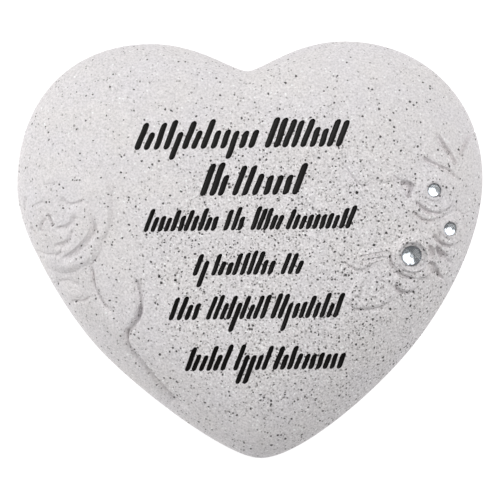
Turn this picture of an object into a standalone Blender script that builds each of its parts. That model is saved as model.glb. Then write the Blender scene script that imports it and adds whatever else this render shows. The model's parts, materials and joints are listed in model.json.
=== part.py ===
"""Heart-shaped memorial stone, cast in stone-filled resin.

The front carries a rose on its stem, a spray of three small flowers with leaves, and six rows
of short engraved strokes. Each small flower holds one round rhinestone in a seat of its own.

Units are metres and +Z is up. The stone lies on its flat back, carved face up, with the tip of
the heart towards -Y. The origin is in the middle of its outline, on the ground.
"""

import math
import random
from dataclasses import dataclass

import bmesh
import bpy
import numpy as np
from mathutils import Vector
from mathutils.geometry import interpolate_bezier

# Heart stone
HEART_WIDTH = 0.170
HEART_LENGTH = 0.1522
HEART_DEPTH = 0.042
GIRTH_HEIGHT = 0.015
BASE_INSET = 0.005

# Heights of the carving over the plain stone
ROSE_RISE = 0.0031
FLOWER_RISE = 0.0023
LEAF_RISE = 0.0012
STEM_RISE = 0.0013

# Engraved strokes
STROKE_DEPTH = 0.0010
STROKE_LEAN = math.radians(21)
STROKE_STATIONS = (0.25, 0.75)
FLOOR_SHARE = 0.5
FLOOR_LENGTH_SHARE = 0.9

# Rhinestones and their seats
LARGE_GEM_DIAMETER = 0.00715
SMALL_GEM_DIAMETER = 0.0047
GEM_HEIGHT_SHARE = 0.37
SEAT_DEPTH = 0.0015
SEAT_CLEARANCE = 0.0003
LARGE_GEM_LEAN_SHARE = 0.05
SMALL_GEM_LEAN_SHARE = 0.3

# The face is drawn on a plan, in units of which the heart measures this many
PLAN_WIDTH = 170.0
PLAN_LENGTH = 152.2

# Form of the stone: the middle of the crown on the plan, how full the crown is, how soon the
# notch fades towards the middle, and how far the edge turns in under the girth
CROWN_MIDDLE_Y = 10.0
CROWN_FULLNESS = 3.0
NOTCH_FADE = 3.0
CALM_HARMONIC = 2.6
UNDERCUT_TURN = math.radians(65)

# Ball that the stone is formed from: its segments, and the latitudes in degrees at which the
# flat back begins and the carving ends
BALL_SIDES = 96
BALL_RINGS = 24
BASE_RINGS = 3
BASE_LATITUDE = -BASE_RINGS * 180 / BALL_RINGS
CARVING_END_LATITUDE = -12.0

# Within each spread of the ball one spoke in so many is kept
SPOKES_KEPT = ((0.65, 2), (0.45, 4))
SAME_RING = 0.001

# Faces over which the carving rises by the step are split; of all faces this share is kept
CARVING_ROUNDS = 2
CARVING_STEP = 0.0003
KEPT_FACES = 0.54

# Cutters stand this far over the surface that they cut
CUTTER_PROUD = 0.004

OUTLINE_STEPS = 90


@dataclass
class Anchor:
    """Point of the outline on the plan, with its heading in degrees and its two handles."""

    x: float
    y: float
    heading: float
    handle_in: float
    handle_out: float

    def point(self, offset=0.0):
        """Gives the point, or one that lies the offset further along the heading."""
        turn = math.radians(self.heading)
        return Vector((self.x + offset * math.cos(turn), self.y + offset * math.sin(turn), 0.0))


# Notch, left lobe, left side, left flank, tip, right flank, right side, right lobe
ANCHORS = (
    Anchor(0.2, 65.4, 180, 5, 5),
    Anchor(-35.5, 76.0, 180, 18, 30),
    Anchor(-84.6, 23.5, 270, 32, 15),
    Anchor(-54.5, -36.5, -47, 20, 20),
    Anchor(2.7, -76.2, 0, 12, 14),
    Anchor(58.5, -36.5, 50, 22, 20),
    Anchor(85.4, 25.5, 90, 22, 30),
    Anchor(35.0, 75.7, 180, 28, 18),
)


def ease(low, high, value):
    """Rises smoothly from 0 at low to 1 at high."""
    share = np.clip((value - low) / (high - low), 0.0, 1.0)
    return share * share * (3.0 - 2.0 * share)


def higher(first, second, fillet):
    """Takes the greater of two heights, with a small fillet where they meet."""
    share = np.clip(0.5 + 0.5 * (first - second) / fillet, 0.0, 1.0)
    filling = fillet * share * (1.0 - share) * ease(0.0, fillet, np.minimum(first, second))
    return second + (first - second) * share + filling


def plan_to_world(x, y):
    """Turns plan units into metres."""
    return x * HEART_WIDTH / PLAN_WIDTH, y * HEART_LENGTH / PLAN_LENGTH


def world_to_plan(x, y):
    """Turns metres into plan units."""
    return x * PLAN_WIDTH / HEART_WIDTH, y * PLAN_LENGTH / HEART_LENGTH


class Outline:
    """The girth of the stone as a distance from the middle of the crown, by bearing."""

    def __init__(self):
        points = self.trace()
        low, high = points.min(axis=0), points.max(axis=0)
        size = np.array([HEART_WIDTH, HEART_LENGTH])
        points = (points - (low + high) / 2) * size / (high - low)
        self.middle = np.array(plan_to_world(0.0, CROWN_MIDDLE_Y))
        spokes = points - self.middle
        bearings = np.arctan2(spokes[:, 1], spokes[:, 0])
        order = np.argsort(bearings)
        self.bearings = np.linspace(-math.pi, math.pi, len(points), endpoint=False)
        lengths = np.hypot(spokes[:, 0], spokes[:, 1])
        self.full = np.interp(self.bearings, bearings[order], lengths[order], period=math.tau)
        self.calm = self.smoothed(self.full)

    @staticmethod
    def trace():
        """Samples the closed curve through the anchors, on the plan."""
        points = []
        for here, ahead in zip(ANCHORS, ANCHORS[1:] + ANCHORS[:1]):
            run = interpolate_bezier(
                here.point(),
                here.point(here.handle_out),
                ahead.point(-ahead.handle_in),
                ahead.point(),
                OUTLINE_STEPS,
            )
            points += [p.xy for p in run[:-1]]
        return np.array(points)

    @staticmethod
    def smoothed(lengths):
        """Keeps the slow waves of the outline alone, without its notch and its tip."""
        waves = np.fft.rfft(lengths)
        waves *= np.exp(-((np.arange(len(waves)) / CALM_HARMONIC) ** 2))
        return np.fft.irfft(waves, len(lengths))

    def reach(self, bearing, ring):
        """Gives the distance of a ring from the middle, where ring 1 is the girth."""
        full = np.interp(bearing, self.bearings, self.full, period=math.tau)
        calm = np.interp(bearing, self.bearings, self.calm, period=math.tau)
        return ring * (calm + (full - calm) * ring**NOTCH_FADE)

    def ring_at(self, x, y):
        """Finds which ring of the crown passes over a place."""
        dx, dy = x - self.middle[0], y - self.middle[1]
        bearing, far = np.arctan2(dy, dx), np.hypot(dx, dy)
        low, high = np.zeros_like(far), np.ones_like(far)
        for _ in range(24):
            half = (low + high) / 2
            beyond = self.reach(bearing, half) > far
            low, high = np.where(beyond, low, half), np.where(beyond, half, high)
        return (low + high) / 2


OUTLINE = Outline()


def crown_height(ring):
    """Gives the height of the plain crown over the ground at a ring."""
    fall = np.sqrt(np.clip(1.0 - ring**CROWN_FULLNESS, 0.0, 1.0))
    return GIRTH_HEIGHT + (HEART_DEPTH - GIRTH_HEIGHT) * fall


def face_height(x, y):
    """Gives the height of the plain crown over a place."""
    return crown_height(OUTLINE.ring_at(x, y))


def face_lean(x, y, step=0.0005):
    """Gives how the plain crown leans at one place, as its outward normal."""
    east, west = face_height(np.array([x + step, x - step]), np.array([y, y]))
    north, south = face_height(np.array([x, x]), np.array([y + step, y - step]))
    return Vector(((west - east) / (2 * step), (south - north) / (2 * step), 1.0))


@dataclass
class Petal:
    """Shallow dish with a rolled lip, on the plan; level is the height of its lip."""

    centre: tuple
    radii: tuple
    turn: float
    level: float
    dish: float
    wave: float = 0.03
    lobes: int = 3
    drop: float = 0.9
    lip: float = 1.2
    bowl: float = 0.55

    def height(self, x, y):
        """Gives the petal's height over each place."""
        turn = math.radians(self.turn)
        dx, dy = x - self.centre[0], y - self.centre[1]
        u = dx * math.cos(turn) + dy * math.sin(turn)
        v = dy * math.cos(turn) - dx * math.sin(turn)
        far = np.hypot(u, v) + 1e-6
        ripple = 1.0 + self.wave * np.cos(self.lobes * np.arctan2(v, u))
        share = np.hypot(u / self.radii[0], v / self.radii[1]) / ripple + 1e-6
        inside = far * (1.0 / share - 1.0)
        bowl = ease(self.lip, self.lip + self.bowl * min(self.radii), inside)
        return self.level * (1.0 - self.dish * bowl) * ease(-self.drop, 0.0, inside)


@dataclass
class Leaf:
    """Pointed blade with a sunk midrib, slanted side veins and a toothed edge, on the plan."""

    root: tuple
    tip: tuple
    half_width: float
    level: float
    bend: float = 0.0
    fold: float = 0.35
    tilt: float = 0.0
    teeth: int = 0
    tooth: float = 0.12
    drop: float = 0.8
    veins: float = 5.5
    vein_depth: float = 0.1
    crown: float = 0.35

    def width(self, along):
        """Gives half of the blade's width at a share of its length, widest near the root."""
        blade = self.half_width * np.sin(math.pi * along**0.8) ** 0.75
        return blade * (1.0 - self.tooth * ((along * self.teeth) % 1.0))

    def height(self, x, y):
        """Gives the leaf's height over each place."""
        along = np.array(self.tip) - np.array(self.root)
        length = math.hypot(*along)
        dx, dy = x - self.root[0], y - self.root[1]
        u = (dx * along[0] + dy * along[1]) / length**2
        within = np.clip(u, 0.0, 1.0)
        v = (dy * along[0] - dx * along[1]) / length - self.bend * 4.0 * within * (1.0 - within)
        across, width = np.abs(v), self.width(within)
        inside = width - across - np.abs(u - within) * length
        crown = 1.0 - self.crown * (across / (width + 0.5)) ** 2
        lean = 1.0 + self.tilt * np.clip(v / self.half_width, -1.0, 1.0)
        rib = 1.0 - ease(0.0, 0.28 * self.half_width + 0.3, across)
        wave = np.cos(math.tau * self.veins * (within - 0.8 * across / length))
        vein = np.maximum(0.0, wave) ** 6 * ease(0.2, 1.2, inside)
        blade = crown * lean - self.fold * rib - self.vein_depth * vein
        return self.level * ease(-self.drop, 0.0, inside) * blade


@dataclass
class Stem:
    """Round shoot along a smooth line through its points, on the plan."""

    points: tuple
    radius: float
    level: float

    def line(self, steps=8):
        """Samples the smooth line through the points."""
        ends = [Vector((x, y, 0.0)) for x, y in self.points]
        before = [ends[0]] + ends[:-1]
        after = ends[1:] + [ends[-1]]
        pulls = [(b - a) / 6 for a, b in zip(before, after)]
        line = []
        for i in range(len(ends) - 1):
            run = interpolate_bezier(
                ends[i], ends[i] + pulls[i], ends[i + 1] - pulls[i + 1], ends[i + 1], steps
            )
            line += run[: steps - 1]
        return line + [ends[-1]]

    def height(self, x, y):
        """Gives the stem's height over each place."""
        line = self.line()
        nearest = np.full(np.shape(x), np.inf)
        place = np.zeros(np.shape(x))
        for i, (here, ahead) in enumerate(zip(line, line[1:])):
            run = ahead - here
            share = ((x - here.x) * run.x + (y - here.y) * run.y) / run.length_squared
            share = np.clip(share, 0.0, 1.0)
            far = np.hypot(x - here.x - share * run.x, y - here.y - share * run.y)
            place = np.where(far < nearest, (i + share) / (len(line) - 1), place)
            nearest = np.minimum(nearest, far)
        taper = ease(0.0, 0.06, place) * (1.0 - 0.75 * ease(0.8, 1.0, place))
        radius = self.radius * (1.0 - 0.35 * place)
        return self.level * taper * np.sqrt(np.clip(1.0 - (nearest / radius) ** 2, 0.0, 1.0))


@dataclass
class Gem:
    """Round rhinestone: its place on the plan, and the share of the face's slope it leans by."""

    name: str
    place: tuple
    diameter: float
    lean_share: float


LARGE_GEM = Gem("rhinestone_large", (57.7, -2.9), LARGE_GEM_DIAMETER, LARGE_GEM_LEAN_SHARE)
UPPER_GEM = Gem("rhinestone_upper", (66.3, 20.6), SMALL_GEM_DIAMETER, SMALL_GEM_LEAN_SHARE)
SIDE_GEM = Gem("rhinestone_side", (71.8, 6.6), SMALL_GEM_DIAMETER, SMALL_GEM_LEAN_SHARE)
GEMS = (LARGE_GEM, UPPER_GEM, SIDE_GEM)


def rose_petals():
    """Lists the rose's petals from the outer ones to the bud, as shares of its rise."""
    layout = (
        ((-65.6, 19.4), (15.3, 16.4), 0, 0.29, 0.55),
        ((-65.1, 5.6), (12.0, 12.4), 0, 0.42, 0.45),
        ((-72.9, 17.0), (9.8, 9.5), 0, 0.39, 0.40),
        ((-75.2, 10.9), (9.5, 9.1), 0, 0.48, 0.35),
        ((-69.1, 9.3), (12.0, 9.8), 50, 0.74, 0.35),
        ((-72.7, 7.9), (7.6, 7.3), 0, 0.74, 0.25),
        ((-70.5, 8.6), (5.8, 5.1), 30, 0.94, 0.35),
        ((-72.0, 9.4), (4.0, 3.3), 60, 1.00, 0.50),
    )
    return [
        Petal(centre, radii, turn, level * ROSE_RISE, dish)
        for centre, radii, turn, level, dish in layout
    ]


def flower_petals(gem, layout):
    """Lists a small flower's petals around its rhinestone, as shares of its rise."""
    return [
        Petal((gem.place[0] + dx, gem.place[1] + dy), radii, turn, level * FLOWER_RISE, dish)
        for (dx, dy), radii, turn, level, dish in layout
    ]


def spray_petals():
    """Lists the petals of the three small flowers."""
    upper = (
        ((-1.5, -3.3), (9.5, 8.0), 20, 0.39, 0.20),
        ((0.0, 0.7), (9.1, 9.1), 0, 0.57, 0.30),
        ((-0.4, -0.4), (8.7, 8.4), 0, 0.74, 0.45),
    )
    side = (
        ((1.1, 1.1), (5.5, 6.2), 0, 0.48, 0.20),
        ((0.0, -0.7), (4.7, 5.1), 0, 0.74, 0.35),
    )
    lower = (
        ((-1.1, -5.1), (7.3, 7.6), 30, 0.48, 0.30),
        ((1.1, 0.7), (8.7, 8.7), 0, 0.70, 0.30),
        ((-1.5, -0.7), (7.3, 7.6), 0, 0.83, 0.30),
        ((0.0, 0.0), (6.2, 6.2), 0, 1.00, 0.40),
    )
    return (
        flower_petals(UPPER_GEM, upper)
        + flower_petals(SIDE_GEM, side)
        + flower_petals(LARGE_GEM, lower)
    )


def leaves():
    """Lists the leaves, those of the rose first."""
    return [
        Leaf((-58.2, -14.2), (-72.7, -12.5), 3.6, 0.8 * LEAF_RISE, bend=0.6),
        Leaf((-46.8, -29.7), (-42.8, -8.6), 3.8, 1.2 * LEAF_RISE, -0.9, 0.2, -0.45, drop=0.6),
        Leaf((76.5, 23.5), (65.1, 39.7), 4.4, LEAF_RISE, bend=-0.5, fold=0.3, teeth=6),
        Leaf((76.8, 20.6), (81.5, 40.9), 3.6, LEAF_RISE, fold=0.3, teeth=6),
        Leaf((60.4, 23.1), (38.0, 29.3), 4.7, 0.7 * LEAF_RISE, bend=-0.5, teeth=6, tooth=0.2),
        Leaf((52.0, -3.7), (34.5, -3.8), 3.3, LEAF_RISE, bend=0.5, teeth=5),
        Leaf((53.3, -9.6), (34.2, -20.5), 7.3, LEAF_RISE, bend=0.8, teeth=6),
        Leaf((67.2, -5.4), (73.8, -5.6), 1.8, 0.8 * LEAF_RISE),
        Leaf((65.0, -7.6), (69.3, -13.5), 1.8, 0.8 * LEAF_RISE),
    ]


def rose_stem():
    """Gives the rose's stem, from under its bloom down the left flank."""
    points = (
        (-60.9, -3.2),
        (-59.6, -12.7),
        (-55.0, -21.2),
        (-49.3, -28.5),
        (-45.4, -35.5),
        (-38.3, -45.1),
        (-29.4, -54.4),
    )
    return Stem(points, 2.2, STEM_RISE)


CARVING = [*rose_petals(), rose_stem(), *leaves(), *spray_petals()]
CARVING_FILLET = 0.00025


def carving_height(x, y):
    """Gives the height of the carving over the plain stone, at places in metres."""
    x, y = world_to_plan(x, y)
    height = np.zeros(np.shape(x))
    for form in CARVING:
        height = higher(height, form.height(x, y), CARVING_FILLET)
    return height


def latitude_of(directions):
    """Gives the latitude of points of the unit ball, in degrees."""
    return np.degrees(np.arcsin(np.clip(directions[:, 2], -1.0, 1.0)))


def plain_stone(directions):
    """Moves points of the unit ball onto the plain stone."""
    bearing = np.arctan2(directions[:, 1], directions[:, 0])
    latitude = latitude_of(directions)
    ring = np.clip(np.hypot(directions[:, 0], directions[:, 1]), 0.0, 1.0)
    turn = UNDERCUT_TURN * np.clip(latitude / BASE_LATITUDE, 0.0, 1.0)
    inset = BASE_INSET * (1.0 - np.cos(turn)) / (1.0 - math.cos(UNDERCUT_TURN))
    edge = OUTLINE.reach(bearing, 1.0) - inset
    edge = edge * np.clip((latitude + 90.0) / (BASE_LATITUDE + 90.0), 0.0, 1.0)
    reach = np.where(latitude >= 0.0, OUTLINE.reach(bearing, ring), edge)
    under = GIRTH_HEIGHT * (1.0 - np.sin(turn) / math.sin(UNDERCUT_TURN))
    height = np.where(latitude >= 0.0, crown_height(ring), under)
    x = OUTLINE.middle[0] + reach * np.cos(bearing)
    y = OUTLINE.middle[1] + reach * np.sin(bearing)
    return np.column_stack([x, y, height])


def points_of(verts):
    """Gives the places of vertices as an array."""
    return np.array([vertex.co for vertex in verts])


def place_points(verts, points):
    """Moves vertices to the places given."""
    for vertex, point in zip(verts, points):
        vertex.co = point


def carved_faces(bm):
    """Lists the faces of the ball over which the carving rises or falls."""
    shares = np.linspace(0.0, 1.0, 4)
    samples, owners = [], []
    for face in bm.faces:
        middle = face.calc_center_median()
        for edge in face.edges:
            for outer in (edge.verts[0].co, (edge.verts[0].co + edge.verts[1].co) / 2):
                samples += [middle.lerp(outer, share).normalized() for share in shares]
                owners += [face.index] * len(shares)
    directions = np.array(samples)
    places = plain_stone(directions)
    heights = carving_height(places[:, 0], places[:, 1])
    heights *= latitude_of(directions) > CARVING_END_LATITUDE
    highest, lowest = np.zeros(len(bm.faces)), np.full(len(bm.faces), np.inf)
    np.maximum.at(highest, owners, heights)
    np.minimum.at(lowest, owners, heights)
    uneven = highest - lowest > CARVING_STEP
    return [face for face in bm.faces if uneven[face.index]]


def split_carved_faces(bm):
    """Splits the faces that carry carving, and keeps every point on the ball."""
    bm.faces.index_update()
    edges = {edge for face in carved_faces(bm) for edge in face.edges}
    bmesh.ops.subdivide_edges(bm, edges=list(edges), cuts=1, use_grid_fill=True)
    for vertex in bm.verts:
        vertex.co.normalize()


def thin_middle(bm):
    """Takes out spokes of the ball near its top, where they crowd together."""
    for spread, every in SPOKES_KEPT:
        crowded = []
        for edge in bm.edges:
            near, far = sorted((v.co.copy() for v in edge.verts), key=lambda co: co.xy.length)
            spoke = round(math.atan2(far.y, far.x) * BALL_SIDES / math.tau)
            runs_out = far.xy.length - near.xy.length > SAME_RING
            if runs_out and far.z > 0.0 and far.xy.length < spread and spoke % every:
                crowded.append(edge)
        bmesh.ops.dissolve_edges(bm, edges=crowded, use_verts=True)


def close_base(bm):
    """Makes the flat back one face."""
    level = math.sin(math.radians(BASE_LATITUDE)) + SAME_RING
    back = [face for face in bm.faces if all(vertex.co.z < level for vertex in face.verts)]
    bmesh.ops.delete(bm, geom=back, context="FACES")
    rim = [edge for edge in bm.edges if edge.is_boundary]
    bmesh.ops.holes_fill(bm, edges=rim)


def material(name, colour, roughness, transmission=0.0):
    """Makes a plain material."""
    made = bpy.data.materials.new(name)
    made.use_nodes = True
    shader = made.node_tree.nodes["Principled BSDF"]
    shader.inputs["Base Color"].default_value = (*colour, 1.0)
    shader.inputs["Roughness"].default_value = roughness
    shader.inputs["Transmission Weight"].default_value = transmission
    made.diffuse_color = (*colour, 1.0)
    return made


def object_from(bm, name, collection, finish=None):
    """Makes a mesh object, with its faces pointing out."""
    bmesh.ops.recalc_face_normals(bm, faces=bm.faces[:])
    mesh = bpy.data.meshes.new(name)
    bm.to_mesh(mesh)
    bm.free()
    made = bpy.data.objects.new(name, mesh)
    collection.objects.link(made)
    if finish:
        mesh.materials.append(finish)
    return made


def heart_stone(collection, finish):
    """Forms the stone from a ball, with its carving."""
    bm = bmesh.new()
    bmesh.ops.create_uvsphere(bm, u_segments=BALL_SIDES, v_segments=BALL_RINGS, radius=1.0)
    thin_middle(bm)
    for _ in range(CARVING_ROUNDS):
        split_carved_faces(bm)
    close_base(bm)
    directions = points_of(bm.verts)
    places = plain_stone(directions)
    place_points(bm.verts, places)
    bm.normal_update()
    outward = np.array([v.normal for v in bm.verts])
    rise = carving_height(places[:, 0], places[:, 1])
    rise *= ease(CARVING_END_LATITUDE, 0.0, latitude_of(directions))
    place_points(bm.verts, places + outward * rise[:, None])
    bmesh.ops.triangulate(bm, faces=[face for face in bm.faces if len(face.verts) < BALL_SIDES])
    stone = object_from(bm, "heart_stone", collection, finish)
    stone.data.shade_smooth()
    stone.data.set_sharp_from_angle(angle=math.radians(50))
    thin = stone.modifiers.new("thin the plain areas", "DECIMATE")
    thin.ratio = KEPT_FACES
    return stone


def gem_frame(gem):
    """Gives the middle of a rhinestone's seat on the carved surface, and the way it faces."""
    x, y = plan_to_world(*gem.place)
    lean = face_lean(x, y)
    height = face_height(np.array([x]), np.array([y]))[0]
    rise = carving_height(np.array([x]), np.array([y]))[0]
    point = Vector((x, y, height)) + lean.normalized() * rise
    axis = Vector((lean.x * gem.lean_share, lean.y * gem.lean_share, 1.0)).normalized()
    return point, axis


def seat_cutter(gem, collection):
    """Makes the round cutter of a rhinestone's seat."""
    point, axis = gem_frame(gem)
    depth = SEAT_DEPTH + CUTTER_PROUD
    radius = gem.diameter / 2 + SEAT_CLEARANCE
    bm = bmesh.new()
    bmesh.ops.create_cone(bm, cap_ends=True, segments=24, radius1=radius, radius2=radius, depth=depth)
    cutter = object_from(bm, f"{gem.name}_seat_cutter", collection)
    cutter.location = point + axis * (depth / 2 - SEAT_DEPTH)
    cutter.rotation_euler = axis.to_track_quat("Z", "Y").to_euler()
    return cutter


def rhinestone(gem, collection, finish):
    """Makes a cut rhinestone: flat back, girdle, sixteen crown facets and a table."""
    radius = gem.diameter / 2
    height = gem.diameter * GEM_HEIGHT_SHARE
    rings = (
        (16, 0.0, 0.94, 0.00),
        (16, 0.0, 1.00, 0.08),
        (16, 0.0, 1.00, 0.30),
        (8, 0.5, 0.80, 0.72),
        (8, 0.0, 0.55, 1.00),
    )
    bm = bmesh.new()
    for sides, offset, width, level in rings:
        for i in range(sides):
            turn = math.tau * (i + offset) / sides
            bm.verts.new(
                (radius * width * math.cos(turn), radius * width * math.sin(turn), height * level)
            )
    hull = bmesh.ops.convex_hull(bm, input=bm.verts[:])
    bmesh.ops.delete(bm, geom=hull["geom_unused"], context="VERTS")
    bmesh.ops.dissolve_limit(bm, angle_limit=math.radians(1), verts=bm.verts, edges=bm.edges)
    made = object_from(bm, gem.name, collection, finish)
    point, axis = gem_frame(gem)
    made.location = point + axis * (SEAT_CLEARANCE - SEAT_DEPTH)
    made.rotation_euler = axis.to_track_quat("Z", "Y").to_euler()
    return made


@dataclass
class Row:
    """Row of engraved strokes on the plan, in groups given by their left and right ends."""

    groups: tuple
    foot: float
    body: float
    tall: float
    drop: float
    thickness: float
    pitch: float


ROWS = (
    Row(((-41.3, 3.2), (5.7, 34.8)), 36.9, 6.9, 10.6, 3.6, 2.0, 3.7),
    Row(((-17.9, -8.1), (-6.2, 19.2)), 19.8, 7.6, 11.6, 0.0, 2.0, 3.9),
    Row(((-38.5, -11.9), (-9.7, -2.1), (0.1, 11.4), (12.8, 36.8)), 7.2, 5.3, 8.2, 0.0, 1.6, 2.9),
    Row(((-21.3, -15.1), (-14.4, 8.5), (10.7, 18.7)), -9.0, 4.7, 8.0, 4.0, 1.6, 2.9),
    Row(((-30.0, -19.0), (-16.5, 5.3), (6.8, 31.9)), -25.0, 5.5, 8.7, 4.4, 1.6, 2.9),
    Row(((-24.5, -9.2), (-7.0, 5.8), (7.2, 33.1)), -43.6, 5.5, 8.4, 4.7, 1.6, 2.9),
)
STROKE_SEED = 7
TALL_SHARE = 0.25
LOW_SHARE = 0.12
STROKE_SWAY = 0.05


@dataclass
class Stroke:
    """Tapered dab of the brush on the plan, from its foot to its top."""

    x: float
    foot: float
    top: float
    thickness: float
    sway: float

    def middle(self, share):
        """Gives a point of the dab's middle line, by its share of the dab's height."""
        rise = share * (self.top - self.foot)
        lean = math.tan(STROKE_LEAN) * rise
        return self.x + lean + self.sway * math.sin(math.tau * share), self.foot + rise

    def half_width(self, share):
        """Gives half of the dab's width, by the share of the dab's height."""
        return self.thickness / 2 * math.sin(math.pi * share) ** 0.5

    def outline(self, stations=STROKE_STATIONS):
        """Lists the points around the dab."""
        ends = [self.middle(0.0), self.middle(1.0)]
        sides = [(self.middle(share), self.half_width(share)) for share in stations]
        right = [(x + half, y) for (x, y), half in sides]
        left = [(x - half, y) for (x, y), half in reversed(sides)]
        return [ends[0], *right, ends[1], *left]

    def share_at(self, y):
        """Gives the share of the dab's height at which a point of the plan lies."""
        return min(max((y - self.foot) / (self.top - self.foot), 0.0), 1.0)


def strokes_of(row, chance):
    """Lists the dabs of one row, some of them tall and a few reaching low."""
    strokes = []
    for left, right in row.groups:
        count = max(1, round((right - left) / row.pitch))
        pitch = (right - left) / count
        for i in range(count):
            pick = chance.random()
            tall = pick < TALL_SHARE or i == 0
            low = row.drop if not tall and pick > 1.0 - LOW_SHARE else 0.0
            top = (row.tall if tall else row.body) * chance.uniform(0.92, 1.04)
            x = left + (i + chance.uniform(0.1, 0.2)) * pitch - math.tan(STROKE_LEAN) * low
            sway = chance.uniform(-STROKE_SWAY, STROKE_SWAY) * row.pitch
            strokes.append(Stroke(x, row.foot - low, row.foot + top, row.thickness, sway))
    return strokes


def all_strokes():
    """Lists every dab of the six rows."""
    chance = random.Random(STROKE_SEED)
    return [stroke for row in ROWS for stroke in strokes_of(row, chance)]


def add_groove(bm, stroke):
    """Adds the closed cutter of one dab, its floor narrower than its mouth."""
    mouth = [plan_to_world(x, y) for x, y in stroke.outline()]
    heights = face_height(*np.array(mouth).T) + CUTTER_PROUD
    ring = [bm.verts.new((x, y, z)) for (x, y), z in zip(mouth, heights)]
    raised = bmesh.ops.extrude_face_region(bm, geom=[bm.faces.new(ring)])
    floor = [item for item in raised["geom"] if isinstance(item, bmesh.types.BMVert)]
    for vertex in floor:
        x, y = world_to_plan(vertex.co.x, vertex.co.y)
        middle_x, _ = stroke.middle(stroke.share_at(y))
        middle_y = (stroke.foot + stroke.top) / 2
        x = middle_x + (x - middle_x) * FLOOR_SHARE
        y = middle_y + (y - middle_y) * FLOOR_LENGTH_SHARE
        vertex.co.xy = plan_to_world(x, y)
    depths = face_height(*points_of(floor)[:, :2].T) - STROKE_DEPTH
    for vertex, depth in zip(floor, depths):
        vertex.co.z = depth


def inscription_cutter(collection):
    """Makes one cutter that holds every dab."""
    bm = bmesh.new()
    for stroke in all_strokes():
        add_groove(bm, stroke)
    return object_from(bm, "inscription_cutter", collection)


def cut(target, cutter):
    """Cuts one object out of another, and keeps the cutter as a guide."""
    cutter.hide_render = True
    cutter.display_type = "WIRE"
    step = target.modifiers.new(f"cut {cutter.name}", "BOOLEAN")
    step.operation = "DIFFERENCE"
    step.solver = "EXACT"
    step.object = cutter


def new_collection(name):
    """Makes a collection in the scene."""
    made = bpy.data.collections.new(name)
    bpy.context.scene.collection.children.link(made)
    return made


def main():
    """Builds the stone and its rhinestones."""
    for item in list(bpy.data.objects):
        bpy.data.objects.remove(item, do_unlink=True)
    parts = new_collection("heart_memorial_stone")
    cutters = new_collection("cutters")
    resin = material("cast_stone_resin", (0.74, 0.73, 0.72), 0.75)
    glass = material("rhinestone_glass", (0.92, 0.94, 0.95), 0.03, transmission=0.6)
    stone = heart_stone(parts, resin)
    for gem in GEMS:
        cut(stone, seat_cutter(gem, cutters))
        rhinestone(gem, parts, glass)
    cut(stone, inscription_cutter(cutters))


main()
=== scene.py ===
"""Looks of a heart-shaped memorial stone of cast resin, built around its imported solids.

The stone lies on its flat back, carved face up, on a lit white table. Its face carries a rose on
its stem, a spray of three small flowers with leaves, and six rows of short engraved strokes
filled with black enamel. Each small flower holds one foil-backed rhinestone.

Lengths are in metres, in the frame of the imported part: +Z up, +Y from the tip to the notch.
The carving is drawn on a plan, in units of which the heart measures 170 by 152.2.
"""

import json
import logging
import math
import random
from abc import ABC, abstractmethod
from dataclasses import dataclass, field
from enum import Enum
from typing import Any, ClassVar, Protocol

import bmesh
import bpy
import numpy as np
from mathutils import Matrix, Vector
from mathutils.geometry import interpolate_bezier

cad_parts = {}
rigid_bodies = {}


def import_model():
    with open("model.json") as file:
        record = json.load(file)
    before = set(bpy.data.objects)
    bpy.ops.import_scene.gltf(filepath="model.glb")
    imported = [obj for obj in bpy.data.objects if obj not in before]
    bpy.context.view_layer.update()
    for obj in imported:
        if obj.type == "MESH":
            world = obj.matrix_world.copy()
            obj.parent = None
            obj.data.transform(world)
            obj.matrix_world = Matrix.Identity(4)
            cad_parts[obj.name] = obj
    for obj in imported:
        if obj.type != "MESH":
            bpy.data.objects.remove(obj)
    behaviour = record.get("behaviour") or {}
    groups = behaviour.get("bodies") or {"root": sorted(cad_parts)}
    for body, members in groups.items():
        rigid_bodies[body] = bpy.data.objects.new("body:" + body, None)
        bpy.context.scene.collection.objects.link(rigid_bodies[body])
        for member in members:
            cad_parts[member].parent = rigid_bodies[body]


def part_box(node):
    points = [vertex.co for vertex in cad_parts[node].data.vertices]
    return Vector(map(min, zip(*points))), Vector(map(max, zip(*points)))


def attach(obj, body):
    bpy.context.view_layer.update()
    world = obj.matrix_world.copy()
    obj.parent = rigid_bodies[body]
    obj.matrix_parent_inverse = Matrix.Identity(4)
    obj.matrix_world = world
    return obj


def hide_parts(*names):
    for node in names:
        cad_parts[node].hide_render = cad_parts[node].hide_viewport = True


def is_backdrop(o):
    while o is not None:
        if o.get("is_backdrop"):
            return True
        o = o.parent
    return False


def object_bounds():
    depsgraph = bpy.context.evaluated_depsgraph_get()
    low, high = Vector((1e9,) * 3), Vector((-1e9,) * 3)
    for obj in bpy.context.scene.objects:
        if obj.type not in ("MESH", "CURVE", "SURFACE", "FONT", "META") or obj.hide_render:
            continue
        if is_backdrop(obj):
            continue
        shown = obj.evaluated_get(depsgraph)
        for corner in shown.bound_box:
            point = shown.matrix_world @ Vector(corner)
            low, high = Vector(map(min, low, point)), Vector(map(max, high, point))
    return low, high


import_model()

CAD_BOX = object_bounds()
BODY = "root"
MILLIMETRE = 0.001

log = logging.getLogger("heart_stone")


class Slot(Enum):
    """Material slots of the record."""

    CAST_STONE = "cast_stone"
    RHINESTONE_GLASS = "rhinestone_glass"


def linear(colour: str) -> tuple[float, float, float, float]:
    """Turns an sRGB hex colour into linear light.

    Args:
        colour: Six hex digits, with or without a leading mark.

    Returns:
        Red, green, blue and an alpha of 1.
    """
    digits = colour.lstrip("#")
    channels = [int(digits[i : i + 2], 16) / 255 for i in (0, 2, 4)]
    light = [c / 12.92 if c <= 0.04045 else ((c + 0.055) / 1.055) ** 2.4 for c in channels]
    return (light[0], light[1], light[2], 1.0)


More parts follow.
